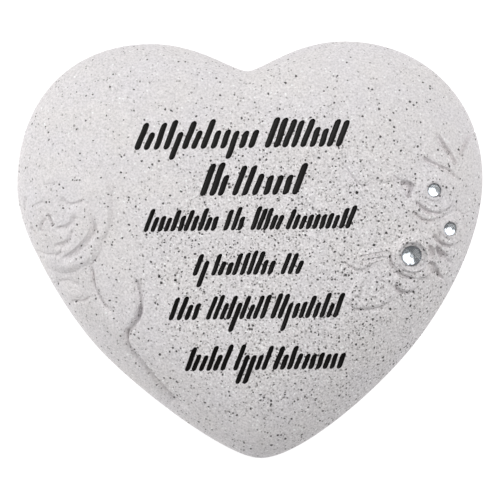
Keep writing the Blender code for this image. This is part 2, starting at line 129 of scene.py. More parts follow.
def per_metre(size_mm: float) -> float:
    """Gives the scale of a pattern whose cells are this many millimetres across."""
    return 1.0 / (size_mm * MILLIMETRE)


def add_node(
    tree: bpy.types.NodeTree,
    kind: str,
    options: dict[str, Any] | None = None,
    values: dict[str | int, Any] | None = None,
    links: dict[str | int, bpy.types.NodeSocket] | None = None,
) -> bpy.types.Node:
    """Adds one node to a tree.

    Args:
        tree: Node tree of a material or a world.
        kind: Blender's name for the node's type, without its ShaderNode beginning.
        options: Settings of the node itself.
        values: Values of its input sockets, by socket name or number.
        links: Output sockets to join to its input sockets, by socket name or number.

    Returns:
        The new node.
    """
    node = tree.nodes.new(f"ShaderNode{kind}")
    for name, value in (options or {}).items():
        setattr(node, name, value)
    for name, value in (values or {}).items():
        node.inputs[name].default_value = value
    for name, socket in (links or {}).items():
        tree.links.new(socket, node.inputs[name])
    return node


def new_material(name: str) -> tuple[bpy.types.Material, bpy.types.NodeTree]:
    """Makes an empty node material.

    Args:
        name: Name of the material.

    Returns:
        The material and its cleared node tree.
    """
    made = bpy.data.materials.new(name)
    made.use_nodes = True
    made.node_tree.nodes.clear()
    return made, made.node_tree


@dataclass(frozen=True)
class Grain:
    """One kind of grain in the cast stone, scattered one to a cell of the pattern.

    Attributes:
        cell: Size of a cell in millimetres.
        share: Share of the cells that hold a grain.
        radius: Greatest radius of a grain in millimetres.
        strength: How far the grain covers the binder's colour.
        colour: The grain's colour.
        hollow: How deep the grain sits, as a share of the bump's height.
    """

    cell: float
    share: float
    radius: float
    strength: float
    colour: str
    hollow: float = 0.0


@dataclass(frozen=True)
class CastStoneFinish:
    """Polyester casting resin filled with stone powder, as it leaves a rubber mould.

    The surface is matt and finely granular. Grey and black chips of mineral filler show in it as
    salt and pepper, and the binder itself drifts a little between cool and warm white.

    The real grit is about 0.2 mm and the real chips 0.3 to 0.6 mm. A picture of the whole stone
    has 0.36 mm to the pixel, so the grit is drawn at 0.75 mm and the chips in cells of 1.1 mm
    and more.

    Attributes:
        cool: Cooler colour of the binder.
        warm: Warmer colour of the binder.
        drift_mm: Width of the drifts between the two.
        roughness: Roughness of the binder.
        refraction: Refractive index of the binder.
        gloss: Strength of its gloss, low because the skin is dusty.
        bump_mm: Height of the grit.
        grit_mm: Width of the grit.
        grit_middle: Level of the grit's pattern that leaves the colour as it is.
        grit_contrast: How strongly the grit lightens and darkens the colour on the crown.
        calm_share: Share of that contrast that is left far from the crown.
        cloud_mm: Width of the waves that make the grains' outlines ragged.
        ragged_mm: How far those waves move an outline.
        crown: Middle of the crown, where the grains are crowded.
        crowded_mm: Distance from it up to which all grains show.
        sparse_mm: Distance from it at which the fewest show.
        sparse_share: Share of the grains that shows there.
        smallest: Radius of the smallest grain of a kind, as a share of the greatest.
        core: Share of a grain's radius over which it covers fully.
        grains: The kinds of grain, from the ground up.
    """

    cool: str = "#E6E3E7"
    warm: str = "#E8E4E2"
    drift_mm: float = 14.0
    roughness: float = 0.78
    refraction: float = 1.50
    gloss: float = 0.35
    bump_mm: float = 0.16
    grit_mm: float = 0.75
    grit_middle: float = 0.51
    grit_contrast: float = 1.15
    calm_share: float = 0.6
    cloud_mm: float = 1.1
    ragged_mm: float = 0.9
    crown: tuple[float, float, float] = (0.018, -0.010, 0.038)
    crowded_mm: float = 26.0
    sparse_mm: float = 80.0
    sparse_share: float = 0.20
    smallest: float = 0.45
    core: float = 0.65
    grains: tuple[Grain, ...] = (
        Grain(1.15, 0.80, 0.52, 0.34, "#A9A6A5", 0.2),
        Grain(1.25, 0.74, 0.48, 0.90, "#FFFFFF", 0.0),
        Grain(1.10, 0.70, 0.50, 0.62, "#77736F", 0.3),
        Grain(1.25, 0.46, 0.56, 0.90, "#2A2624", 0.5),
        Grain(6.00, 0.25, 0.80, 1.00, "#1E1C1B", 0.8),
    )

    def build(self) -> bpy.types.Material:
        """Makes the material.

        Returns:
            The material, on Object coordinates.
        """
        made, tree = new_material("cast_stone_resin")
        place = add_node(tree, "TexCoord").outputs["Object"]
        shake = add_node(
            tree, "TexNoise", values={"Scale": per_metre(self.cloud_mm), "Detail": 1.0},
            links={"Vector": place},
        )
        centred = add_node(
            tree, "VectorMath", {"operation": "SUBTRACT"}, {1: (0.5, 0.5, 0.5)},
            {0: shake.outputs["Color"]},
        )
        nudge = add_node(
            tree, "VectorMath", {"operation": "SCALE"}, {"Scale": self.ragged_mm * MILLIMETRE},
            {0: centred.outputs[0]},
        )
        ragged = add_node(
            tree, "VectorMath", {"operation": "ADD"},
            links={0: place, 1: nudge.outputs[0]},
        ).outputs[0]
        drift = add_node(
            tree, "TexNoise", values={"Scale": per_metre(self.drift_mm), "Detail": 2.0},
            links={"Vector": place},
        )
        grit = add_node(
            tree, "TexNoise", values={"Scale": per_metre(self.grit_mm), "Detail": 2.0},
            links={"Vector": place},
        )
        colour = add_node(
            tree, "Mix", {"data_type": "RGBA"},
            {6: linear(self.cool), 7: linear(self.warm)},
            {0: drift.outputs["Fac"]},
        ).outputs[2]
        height = grit.outputs["Fac"]
        spread = self.spread(tree, place)
        for number, grain in enumerate(self.grains):
            mask = self.scatter(tree, ragged, spread, grain, number)
            cover = add_node(
                tree, "Math", {"operation": "MULTIPLY"}, {1: grain.strength}, {0: mask}
            )
            colour = add_node(
                tree, "Mix", {"data_type": "RGBA"}, {7: linear(grain.colour)},
                {0: cover.outputs[0], 6: colour},
            ).outputs[2]
            if grain.hollow:
                sunk = add_node(
                    tree, "Math", {"operation": "MULTIPLY"}, {1: grain.hollow}, {0: mask}
                )
                height = add_node(
                    tree, "Math", {"operation": "SUBTRACT"}, None,
                    {0: height, 1: sunk.outputs[0]},
                ).outputs[0]
        contrast = add_node(
            tree, "MapRange", None,
            {"To Min": self.calm_share * self.grit_contrast, "To Max": self.grit_contrast},
            {"Value": spread},
        )
        about = add_node(
            tree, "Math", {"operation": "SUBTRACT"}, {1: self.grit_middle},
            {0: grit.outputs["Fac"]},
        )
        speckle = add_node(
            tree, "Math", {"operation": "MULTIPLY_ADD"}, {2: 1.0},
            {0: about.outputs[0], 1: contrast.outputs["Result"]},
        )
        colour = add_node(
            tree, "VectorMath", {"operation": "SCALE"}, None,
            {0: colour, "Scale": speckle.outputs[0]},
        ).outputs[0]
        relief = add_node(
            tree, "Bump", None, {"Strength": 1.0, "Distance": self.bump_mm * MILLIMETRE},
            {"Height": height},
        )
        shader = add_node(
            tree, "BsdfPrincipled", None,
            {
                "Roughness": self.roughness, "IOR": self.refraction,
                "Specular IOR Level": self.gloss,
            },
            {"Base Color": colour, "Normal": relief.outputs["Normal"]},
        )
        add_node(tree, "OutputMaterial", links={"Surface": shader.outputs["BSDF"]})
        return made

    def spread(
        self, tree: bpy.types.NodeTree, place: bpy.types.NodeSocket
    ) -> bpy.types.NodeSocket:
        """Crowds the grains on the crown, where the mould's skin of clear binder is thinnest.

        Args:
            tree: The material's node tree.
            place: Where on the stone the pattern is read.

        Returns:
            The share of the grains that show, 1 on the crown.
        """
        far = add_node(
            tree, "VectorMath", {"operation": "DISTANCE"}, {1: self.crown}, {0: place}
        )
        share = add_node(
            tree, "MapRange", {"interpolation_type": "SMOOTHSTEP"},
            {
                "From Min": self.crowded_mm * MILLIMETRE, "From Max": self.sparse_mm * MILLIMETRE,
                "To Min": 1.0, "To Max": self.sparse_share,
            },
            {"Value": far.outputs["Value"]},
        )
        return share.outputs["Result"]

    def scatter(
        self,
        tree: bpy.types.NodeTree,
        place: bpy.types.NodeSocket,
        spread: bpy.types.NodeSocket,
        grain: Grain,
        number: int,
    ) -> bpy.types.NodeSocket:
        """Scatters one kind of grain.

        Args:
            tree: The material's node tree.
            place: Where on the stone the pattern is read.
            spread: Share of the grains that show there.
            grain: The kind of grain.
            number: Number of this kind, which shifts its pattern off the others.

        Returns:
            A mask that is 1 on a grain and 0 off it.
        """
        shifted = add_node(
            tree, "Mapping", None, {"Location": (0.013 * number, 0.029 * number, 0.0)},
            {"Vector": place},
        )
        cells = add_node(
            tree, "TexVoronoi", None, {"Scale": per_metre(grain.cell), "Randomness": 1.0},
            {"Vector": shifted.outputs[0]},
        )
        chance = add_node(tree, "SeparateColor", links={0: cells.outputs["Color"]})
        size = add_node(
            tree, "MapRange", None, {"To Min": self.smallest, "To Max": 1.0},
            {"Value": chance.outputs[1]},
        )
        shown = add_node(
            tree, "Math", {"operation": "MULTIPLY"}, {1: grain.share}, {0: spread}
        )
        held = add_node(
            tree, "Math", {"operation": "LESS_THAN"}, None,
            {0: chance.outputs[0], 1: shown.outputs[0]},
        )
        reach = add_node(
            tree, "Math", {"operation": "MULTIPLY"}, {1: grain.radius / grain.cell},
            {0: size.outputs["Result"]},
        )
        inside = add_node(
            tree, "Math", {"operation": "DIVIDE"}, None,
            {0: cells.outputs["Distance"], 1: reach.outputs[0]},
        )
        edge = add_node(
            tree, "MapRange", {"interpolation_type": "SMOOTHSTEP"},
            {"From Min": 1.0, "From Max": self.core, "To Min": 0.0, "To Max": 1.0},
            {"Value": inside.outputs[0]},
        )
        mask = add_node(
            tree, "Math", {"operation": "MULTIPLY"}, None,
            {0: edge.outputs["Result"], 1: held.outputs[0]},
        )
        return mask.outputs[0]


@dataclass(frozen=True)
class EngravingEnamel:
    """Black enamel brushed into the engraving: satin, a little streaky, brown in its thin parts.

    The real brush marks are about 0.2 mm wide, and are drawn at 0.7 mm so as to show.

    Attributes:
        colour: Colour of the full coat.
        thin_colour: Colour of the thin parts.
        roughness: Roughness of the coat.
        refraction: Refractive index of the enamel.
        gloss: Strength of its gloss.
        streak_mm: Width of the brush marks.
        bump_mm: Height of the brush marks.
    """

    colour: str = "#070606"
    thin_colour: str = "#181513"
    roughness: float = 0.50
    refraction: float = 1.50
    gloss: float = 0.25
    streak_mm: float = 0.7
    bump_mm: float = 0.03

    def build(self) -> bpy.types.Material:
        """Makes the material.

        Returns:
            The material, on Object coordinates.
        """
        made, tree = new_material("black_engraving_enamel")
        place = add_node(tree, "TexCoord").outputs["Object"]
        streaks = add_node(
            tree, "TexNoise", None, {"Scale": per_metre(self.streak_mm), "Detail": 3.0},
            {"Vector": place},
        )
        colour = add_node(
            tree, "Mix", {"data_type": "RGBA"},
            {6: linear(self.colour), 7: linear(self.thin_colour)},
            {0: streaks.outputs["Fac"]},
        )
        relief = add_node(
            tree, "Bump", None, {"Strength": 1.0, "Distance": self.bump_mm * MILLIMETRE},
            {"Height": streaks.outputs["Fac"]},
        )
        shader = add_node(
            tree, "BsdfPrincipled", None,
            {
                "Roughness": self.roughness, "IOR": self.refraction,
                "Specular IOR Level": self.gloss,
            },
            {"Base Color": colour.outputs[2], "Normal": relief.outputs["Normal"]},
        )
        add_node(tree, "OutputMaterial", links={"Surface": shader.outputs["BSDF"]})
        return made


@dataclass(frozen=True)
class CrystalGlass:
    """Machine-cut and polished crystal glass: clear, bright, with sharp facets.

    Attributes:
        colour: Tint of the glass.
        roughness: Roughness of a polished facet.
        refraction: Refractive index of the glass.
    """

    colour: str = "#F7FAFC"
    roughness: float = 0.01
    refraction: float = 1.55

    def build(self) -> bpy.types.Material:
        """Makes the material.

        Returns:
            The material, clear by plain shader values.
        """
        made, tree = new_material("rhinestone_crystal_glass")
        shader = add_node(
            tree, "BsdfPrincipled", None,
            {
                "Base Color": linear(self.colour), "Roughness": self.roughness,
                "IOR": self.refraction, "Transmission Weight": 1.0,
            },
        )
        add_node(tree, "OutputMaterial", links={"Surface": shader.outputs["BSDF"]})
        return made


@dataclass(frozen=True)
class SilverFoil:
    """Vacuum-plated silver on the flat back of a rhinestone, slightly rippled by the cutting.

    The real ripple is finer than 0.1 mm, and is drawn at 0.9 mm so as to show.

    Attributes:
        colour: Colour of the silver.
        roughness: Roughness of the plating.
        ripple_mm: Width of the ripple.
        bump_mm: Height of the ripple.
    """

    colour: str = "#D9DCE0"
    roughness: float = 0.17
    ripple_mm: float = 0.9
    bump_mm: float = 0.02

    def build(self) -> bpy.types.Material:
        """Makes the material.

        Returns:
            The material, on Object coordinates.
        """
        made, tree = new_material("silver_foil_backing")
        place = add_node(tree, "TexCoord").outputs["Object"]
        ripple = add_node(
            tree, "TexNoise", None, {"Scale": per_metre(self.ripple_mm), "Detail": 1.0},
            {"Vector": place},
        )
        relief = add_node(
            tree, "Bump", None, {"Strength": 1.0, "Distance": self.bump_mm * MILLIMETRE},
            {"Height": ripple.outputs["Fac"]},
        )
        shader = add_node(
            tree, "BsdfPrincipled", None,
            {"Base Color": linear(self.colour), "Metallic": 1.0, "Roughness": self.roughness},
            {"Normal": relief.outputs["Normal"]},
        )
        add_node(tree, "OutputMaterial", links={"Surface": shader.outputs["BSDF"]})
        return made


@dataclass(frozen=True)
class LightTable:
    """Opal acrylic of a light table: matt white, and lit from below in its middle.

    Attributes:
        colour: Colour of the acrylic.
        roughness: Roughness of its matt side.
        gloss: Strength of its gloss.
        glow: Strength of the light through its middle.
        dim_glow: Strength of the light through its outer part.
        lit_mm: Distances from the middle at which the light begins to fade and has faded.
    """

    colour: str = "#9A9A9A"
    roughness: float = 0.6
    gloss: float = 0.1
    glow: float = 0.86
    dim_glow: float = 0.22
    lit_mm: tuple[float, float] = (130.0, 240.0)

    def build(self) -> bpy.types.Material:
        """Makes the material.

        Returns:
            The material, on Object coordinates.
        """
        made, tree = new_material("opal_acrylic_table")
        place = add_node(tree, "TexCoord").outputs["Object"]
        far = add_node(tree, "VectorMath", {"operation": "LENGTH"}, links={0: place})
        near, away = self.lit_mm
        glow = add_node(
            tree, "MapRange", {"interpolation_type": "SMOOTHSTEP"},
            {
                "From Min": near * MILLIMETRE, "From Max": away * MILLIMETRE,
                "To Min": self.glow, "To Max": self.dim_glow,
            },
            {"Value": far.outputs["Value"]},
        )
        shader = add_node(
            tree, "BsdfPrincipled", None,
            {
                "Base Color": linear(self.colour), "Roughness": self.roughness,
                "Specular IOR Level": self.gloss, "Emission Color": linear("#FFFFFF"),
            },
            {"Emission Strength": glow.outputs["Result"]},
        )
        add_node(tree, "OutputMaterial", links={"Surface": shader.outputs["BSDF"]})
        return made


def ease(low: float, high: float, value: np.ndarray) -> np.ndarray:
    """Rises smoothly from 0 to 1.

    Args:
        low: Value at which the rise begins.
        high: Value at which the rise ends.
        value: Values to ease.

    Returns:
        A share from 0 to 1 for each value.
    """
    share = np.clip((value - low) / (high - low), 0.0, 1.0)
    return share * share * (3.0 - 2.0 * share)


def higher(first: np.ndarray, second: np.ndarray, fillet: float) -> np.ndarray:
    """Takes the greater of two heights, with a small fillet where they meet.

    Args:
        first: One height over each place.
        second: The other height.
        fillet: Size of the fillet, in the heights' unit.

    Returns:
        The greater height over each place.
    """
    share = np.clip(0.5 + 0.5 * (first - second) / fillet, 0.0, 1.0)
    filling = fillet * share * (1.0 - share) * ease(0.0, fillet, np.minimum(first, second))
    return second + (first - second) * share + filling


@dataclass(frozen=True)
class Plan:
    """Plan of the stone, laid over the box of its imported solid.

    Attributes:
        low: Lowest corner of the solid.
        high: Highest corner of the solid.
        width: Units across the heart.
        length: Units from tip to lobes.
        guard: Gap kept to the box, in metres.
    """

    low: Vector
    high: Vector
    width: float = 170.0
    length: float = 152.2
    guard: float = 0.00002

    @property
    def unit(self) -> np.ndarray:
        """Metres to one unit, across and along."""
        span = np.array([self.high.x - self.low.x, self.high.y - self.low.y])
        return (span - 2 * self.guard) / (self.width, self.length)

    @property
    def middle(self) -> np.ndarray:
        """Middle of the outline, in metres."""
        return np.array([self.low.x + self.high.x, self.low.y + self.high.y]) / 2

    def world(self, x: np.ndarray | float, y: np.ndarray | float) -> tuple[Any, Any]:
        """Turns places on the plan into metres."""
        return self.middle[0] + x * self.unit[0], self.middle[1] + y * self.unit[1]

    def drawn(self, x: np.ndarray | float, y: np.ndarray | float) -> tuple[Any, Any]:
        """Turns metres into places on the plan."""
        return (x - self.middle[0]) / self.unit[0], (y - self.middle[1]) / self.unit[1]


@dataclass(frozen=True)
class Anchor:
    """Point of the outline on the plan, with its heading in degrees and its two handles."""

    x: float
    y: float
    heading: float
    handle_in: float
    handle_out: float

    def point(self, offset: float = 0.0) -> Vector:
        """Gives the point, or one that lies the offset further along the heading."""
        turn = math.radians(self.heading)
        return Vector((self.x + offset * math.cos(turn), self.y + offset * math.sin(turn), 0.0))


@dataclass
class StoneForm:
    """The plain heart without its carving: a crown over a girth, with a flat back.

    Attributes:
        plan: The stone's plan.
        anchors: Notch, left lobe, left side, left flank, tip, right flank, right side and
            right lobe of the outline.
        girth_height: Height of the widest line over the ground.
        base_inset: How far the flat back lies inside the girth.
        crown_middle: Height of the crown's middle on the plan.
        fullness: Power of the crown's fall, greater for a fuller crown.
        notch_fade: Power by which the notch and the tip fade towards the middle.
        calm_harmonic: Highest wave of the outline that reaches the middle.
        undercut: How far the edge turns in under the girth, in degrees.
        base_latitude: Latitude of the ball at which the flat back begins.
        steps: Points drawn from one anchor to the next.
        halvings: Halvings by which a place's ring is found.
    """

    plan: Plan
    anchors: tuple[Anchor, ...] = (
        Anchor(0.2, 65.4, 180, 5, 5),
        Anchor(-35.5, 76.0, 180, 18, 30),
        Anchor(-84.6, 23.5, 270, 32, 15),
        Anchor(-54.5, -36.5, -47, 20, 20),
        Anchor(2.7, -76.2, 0, 12, 14),
        Anchor(58.5, -36.5, 50, 22, 20),
        Anchor(85.4, 25.5, 90, 22, 30),
        Anchor(35.0, 75.7, 180, 28, 18),
    )
    girth_height: float = 0.015
    base_inset: float = 0.005
    crown_middle: float = 10.0
    fullness: float = 3.0
    notch_fade: float = 3.0
    calm_harmonic: float = 2.6
    undercut: float = 65.0
    base_latitude: float = -22.5
    steps: int = 90
    halvings: int = 24

    def __post_init__(self) -> None:
        """Works out the outline as a distance from the crown's middle, by bearing."""
        points = self.trace()
        low, high = points.min(axis=0), points.max(axis=0)
        size = self.plan.unit * (self.plan.width, self.plan.length)
        points = self.plan.middle + (points - (low + high) / 2) * size / (high - low)
        self.middle = np.array(self.plan.world(0.0, self.crown_middle))
        self.top = self.plan.high.z - self.plan.guard
        spokes = points - self.middle
        bearings = np.arctan2(spokes[:, 1], spokes[:, 0])
        order = np.argsort(bearings)
        self.bearings = np.linspace(-math.pi, math.pi, len(points), endpoint=False)
        lengths = np.hypot(spokes[:, 0], spokes[:, 1])
        self.full = np.interp(self.bearings, bearings[order], lengths[order], period=math.tau)
        waves = np.fft.rfft(self.full)
        waves *= np.exp(-((np.arange(len(waves)) / self.calm_harmonic) ** 2))
        self.calm = np.fft.irfft(waves, len(self.full))

    def trace(self) -> np.ndarray:
        """Samples the closed curve through the anchors.

        Returns:
            Points of the curve on the plan, one to a row.
        """
        points: list[Vector] = []
        for here, ahead in zip(self.anchors, self.anchors[1:] + self.anchors[:1]):
            run = interpolate_bezier(
                here.point(),
                here.point(here.handle_out),
                ahead.point(-ahead.handle_in),
                ahead.point(),
                self.steps,
            )
            points += [p.xy for p in run[:-1]]
        return np.array(points)

    def reach(self, bearing: np.ndarray, ring: np.ndarray | float) -> np.ndarray:
        """Gives the distance of a ring from the crown's middle.

        Args:
            bearing: Bearings in radians.
            ring: 0 at the middle and 1 at the girth.

        Returns:
            The distance in metres for each bearing.
        """
        full = np.interp(bearing, self.bearings, self.full, period=math.tau)
        calm = np.interp(bearing, self.bearings, self.calm, period=math.tau)
        return ring * (calm + (full - calm) * ring**self.notch_fade)

    def ring_at(self, x: np.ndarray, y: np.ndarray) -> np.ndarray:
        """Finds which ring of the crown passes over each place.

        Args:
            x: Places across the stone, in metres.
            y: Places along the stone, in metres.

        Returns:
            The ring over each place, 0 at the middle and 1 at the girth.
        """
        dx, dy = x - self.middle[0], y - self.middle[1]
        bearing, far = np.arctan2(dy, dx), np.hypot(dx, dy)
        low, high = np.zeros_like(far), np.ones_like(far)
        for _ in range(self.halvings):
            half = (low + high) / 2
            beyond = self.reach(bearing, half) > far
            low, high = np.where(beyond, low, half), np.where(beyond, half, high)
        return (low + high) / 2

    def crown_height(self, ring: np.ndarray) -> np.ndarray:
        """Gives the height of the plain crown over the ground at a ring."""
        fall = np.sqrt(np.clip(1.0 - ring**self.fullness, 0.0, 1.0))
        return self.girth_height + (self.top - self.girth_height) * fall

    def face_height(self, x: np.ndarray, y: np.ndarray) -> np.ndarray:
        """Gives the height of the plain crown over each place, in metres."""
        return self.crown_height(self.ring_at(x, y))

    def lean(self, x: float, y: float, step: float = 0.0005) -> Vector:
        """Gives the outward normal of the plain crown at one place.

        Args:
            x: Place across the stone, in metres.
            y: Place along the stone, in metres.
            step: How far to each side the slope is measured.

        Returns:
            The normal, with an upward part of 1.
        """
        east, west = self.face_height(np.array([x + step, x - step]), np.array([y, y]))
        north, south = self.face_height(np.array([x, x]), np.array([y + step, y - step]))
        return Vector(((west - east) / (2 * step), (south - north) / (2 * step), 1.0))

    @staticmethod
    def latitude(directions: np.ndarray) -> np.ndarray:
        """Gives the latitude of points of the unit ball, in degrees."""
        return np.degrees(np.arcsin(np.clip(directions[:, 2], -1.0, 1.0)))

    def placed(self, directions: np.ndarray) -> np.ndarray:
        """Moves points of the unit ball onto the plain stone.

        Args:
            directions: Points of the unit ball, one to a row.

        Returns:
            Their places on the stone, in metres.
        """
        undercut = math.radians(self.undercut)
        bearing = np.arctan2(directions[:, 1], directions[:, 0])
        latitude = self.latitude(directions)
        ring = np.clip(np.hypot(directions[:, 0], directions[:, 1]), 0.0, 1.0)
        turn = undercut * np.clip(latitude / self.base_latitude, 0.0, 1.0)
        inset = self.base_inset * (1.0 - np.cos(turn)) / (1.0 - math.cos(undercut))
        reach = np.where(
            latitude >= 0.0, self.reach(bearing, ring), self.reach(bearing, 1.0) - inset
        )
        under = self.girth_height * (1.0 - np.sin(turn) / math.sin(undercut))
        height = np.where(latitude >= 0.0, self.crown_height(ring), under)
        x = self.middle[0] + reach * np.cos(bearing)
        y = self.middle[1] + reach * np.sin(bearing)
        return np.column_stack([x, y, height + self.plan.low.z])


def smooth_run(points: tuple[tuple[float, float], ...], closed: bool, steps: int = 7) -> np.ndarray:
    """Draws a smooth line through points of the plan.

    Args:
        points: The points, in order.
        closed: Whether the line comes back to its first point.
        steps: Points drawn to each stretch.

    Returns:
        The drawn points, one to a row.
    """
    ends = [Vector((x, y, 0.0)) for x, y in points]
    if closed:
        before, after = ends[-1:] + ends[:-1], ends[1:] + ends[:1]
        stretches = [(i, (i + 1) % len(ends)) for i in range(len(ends))]
    else:
        before, after = ends[:1] + ends[:-1], ends[1:] + ends[-1:]
        stretches = [(i, i + 1) for i in range(len(ends) - 1)]
    # A handle of a sixth of the way between a point's neighbours keeps the line round there.
    pulls = [(b - a) / 6 for a, b in zip(before, after)]
    drawn: list[Vector] = []
    for i, j in stretches:
        run = interpolate_bezier(ends[i], ends[i] + pulls[i], ends[j] - pulls[j], ends[j], steps)
        drawn += run[:-1]
    drawn.append(ends[0] if closed else ends[-1])
    return np.array([point.xy for point in drawn])


@dataclass(frozen=True)
class Nearness:
    """How places of the plan lie to a line.

    Attributes:
        far: Distance to the line.
        along: Share of the line's length at which the place is nearest.
        left: Whether the place is on the left of the line.
        inside: Whether a closed line goes round the place.
    """

    far: np.ndarray
    along: np.ndarray
    left: np.ndarray
    inside: np.ndarray


def nearness(x: np.ndarray, y: np.ndarray, line: np.ndarray) -> Nearness:
    """Measures places of the plan against a drawn line.

    Args:
        x: Places across the plan.
        y: Places along the plan.
        line: Points of the line, one to a row.

    Returns:
        How each place lies to the line.
    """
    far, along = np.full(x.shape, np.inf), np.zeros(x.shape)
    left, inside = np.zeros(x.shape, bool), np.zeros(x.shape, bool)
    lengths = np.hypot(*np.diff(line, axis=0).T)
    starts = np.concatenate([[0.0], np.cumsum(lengths)])
    for i, ((x0, y0), (x1, y1)) in enumerate(zip(line, line[1:])):
        run_x, run_y = x1 - x0, y1 - y0
        share = ((x - x0) * run_x + (y - y0) * run_y) / lengths[i] ** 2
        share = np.clip(share, 0.0, 1.0)
        here = np.hypot(x - x0 - share * run_x, y - y0 - share * run_y)
        closer = here < far
        far = np.where(closer, here, far)
        along = np.where(closer, (starts[i] + share * lengths[i]) / starts[-1], along)
        left = np.where(closer, run_x * (y - y0) > run_y * (x - x0), left)
        if run_y:
            inside ^= ((y0 > y) != (y1 > y)) & (x < x0 + (y - y0) * run_x / run_y)
    return Nearness(far, along, left, inside)


class CarvedForm(Protocol):
    """Anything that stands over the plain stone, or is sunk into what stands there."""

    def height(self, x: np.ndarray, y: np.ndarray) -> np.ndarray:
        """Gives its height over each place.

        Args:
            x: Places across the plan.
            y: Places along the plan.

        Returns:
            The height over each place, in metres, below 0 where the form is sunk.
        """


def near_box(x: np.ndarray, y: np.ndarray, line: np.ndarray, margin: float) -> np.ndarray:
    """Picks the places that lie in the box round a line, with a margin."""
    low, high = line.min(axis=0) - margin, line.max(axis=0) + margin
    return (x > low[0]) & (x < high[0]) & (y > low[1]) & (y < high[1])


@dataclass
class LineForm(ABC):
    """Carved form that follows a smooth line on the plan.

    Attributes:
        closed: Whether the line comes back to its first point.
        points: Points of the line.
    """

    closed: ClassVar[bool] = False
    points: tuple[tuple[float, float], ...]

    @property
    @abstractmethod
    def margin(self) -> float:
        """Gives how far the form reaches beyond its line."""

    @abstractmethod
    def section(self, x: np.ndarray, y: np.ndarray, line: np.ndarray) -> np.ndarray:
        """Gives the form's height over places near its line.

        Args:
            x: Places across the plan.
            y: Places along the plan.
            line: Points of the drawn line, one to a row.

        Returns:
            The height over each place, in metres.
        """

    def height(self, x: np.ndarray, y: np.ndarray) -> np.ndarray:
        """Gives the form's height over each place.

        Args:
            x: Places across the plan.
            y: Places along the plan.

        Returns:
            The height over each place, in metres, 0 away from the form.
        """
        line = smooth_run(self.points, self.closed)
        full = np.zeros(np.shape(x))
        near = near_box(x, y, line, self.margin)
        if near.any():
            full[near] = self.section(x[near], y[near], line)
        return full


@dataclass
class Petal(LineForm):
    """Petal or leaf bounded by a smooth loop, standing highest along one side.

    Attributes:
        lip: Bearing of the raised side, in degrees.
        level: Height of the raised side, in metres.
        fall: Share of the level that is lost at the far side.
        roll: Width over which the edge is rounded.
        drop: Width of the step at the edge.
        dish: How far the middle sinks, as a share of the height.
        mottle: Height of the hammered dents in its face, as a share of the level.
        dent: Width of the dents.
        slope_width: Width over which the middle sinks, inside the rounded edge.
    """

    closed: ClassVar[bool] = True
    lip: float
    level: float
    fall: float = 0.5
    roll: float = 1.0
    drop: float = 0.5
    dish: float = 0.1
    mottle: float = 0.0
    dent: float = 2.0
    slope_width: float = 2.5

    @property
    def margin(self) -> float:
        """Gives the width of the step at the edge."""
        return self.drop

    def section(self, x: np.ndarray, y: np.ndarray, line: np.ndarray) -> np.ndarray:
        """Gives the petal's height over places near its loop.

        Args:
            x: Places across the plan.
            y: Places along the plan.
            line: Points of the drawn loop, one to a row.

        Returns:
            The height over each place, in metres, 0 off the petal.
        """
        met = nearness(x, y, line)
        depth = np.where(met.inside, met.far, -met.far)
        toward = np.array([math.cos(math.radians(self.lip)), math.sin(math.radians(self.lip))])
        spread = line @ toward
        share = (x * toward[0] + y * toward[1] - spread.min()) / np.ptp(spread)
        slope = 1.0 - self.fall * (1.0 - np.clip(share, 0.0, 1.0))
        edge = ease(-self.drop, self.roll, depth)
        bowl = self.dish * ease(self.roll, self.roll + self.slope_width, depth)
        # Two crossed trains of waves, set askew so that the dents don't line up with the plan.
        turn = math.tau / self.dent
        dents = np.sin(turn * (x + 0.4 * y)) * np.sin(turn * (0.9 * y - 0.3 * x))
        return self.level * edge * slope * (1.0 - bowl + self.mottle * dents * edge)


@dataclass
class Cup:
    """Round cup of petals about a rhinestone: a rolled ring with a sunk middle.

    Attributes:
        centre: Middle of the cup, on the plan.
        radius: Radius of the cup.
        level: Height of its ring, in metres.
        dish: How far the middle sinks, as a share of the height.
        roll: Width over which the edge is rounded.
        drop: Width of the step at the edge.
        slope_width: Width over which the middle sinks, inside the rounded edge.
    """

    centre: tuple[float, float]
    radius: float
    level: float
    dish: float = 0.4
    roll: float = 1.0
    drop: float = 0.5
    slope_width: float = 1.4

    def height(self, x: np.ndarray, y: np.ndarray) -> np.ndarray:
        """Gives the cup's height over each place.

        Args:
            x: Places across the plan.
            y: Places along the plan.

        Returns:
            The height over each place, in metres, 0 off the cup.
        """
        depth = self.radius - np.hypot(x - self.centre[0], y - self.centre[1])
        bowl = self.dish * ease(self.roll, self.roll + self.slope_width, depth)
        return self.level * ease(-self.drop, self.roll, depth) * (1.0 - bowl)


@dataclass
class Crease(LineForm):
    """Edge of one petal over the next: a step down on the left of a line, then a slow rise.

    Attributes:
        depth: Depth of the step, in millimetres.
        reach: Width over which the ground rises again.
        step: Width of the step.
        fade: Share of the line at each of its ends over which the crease fades.
    """

    depth: float
    reach: float
    step: float = 0.55
    fade: float = 0.2

    @property
    def margin(self) -> float:
        """Gives the width of the step and of the rise after it."""
        return self.step + self.reach

    def section(self, x: np.ndarray, y: np.ndarray, line: np.ndarray) -> np.ndarray:
        """Gives the crease's height over places near its line.

        Args:
            x: Places across the plan.
            y: Places along the plan.
            line: Points of the drawn line, one to a row.

        Returns:
            The height over each place, in metres, never above 0.
        """
        met = nearness(x, y, line)
        across = np.where(met.left, met.far, -met.far)
        sunk = ease(-self.step / 2, self.step / 2, across)
        sunk *= 1.0 - ease(self.step / 2, self.step / 2 + self.reach, across)
        ends = ease(0.0, self.fade, met.along) * (1.0 - ease(1.0 - self.fade, 1.0, met.along))
        return -self.depth * MILLIMETRE * sunk * ends


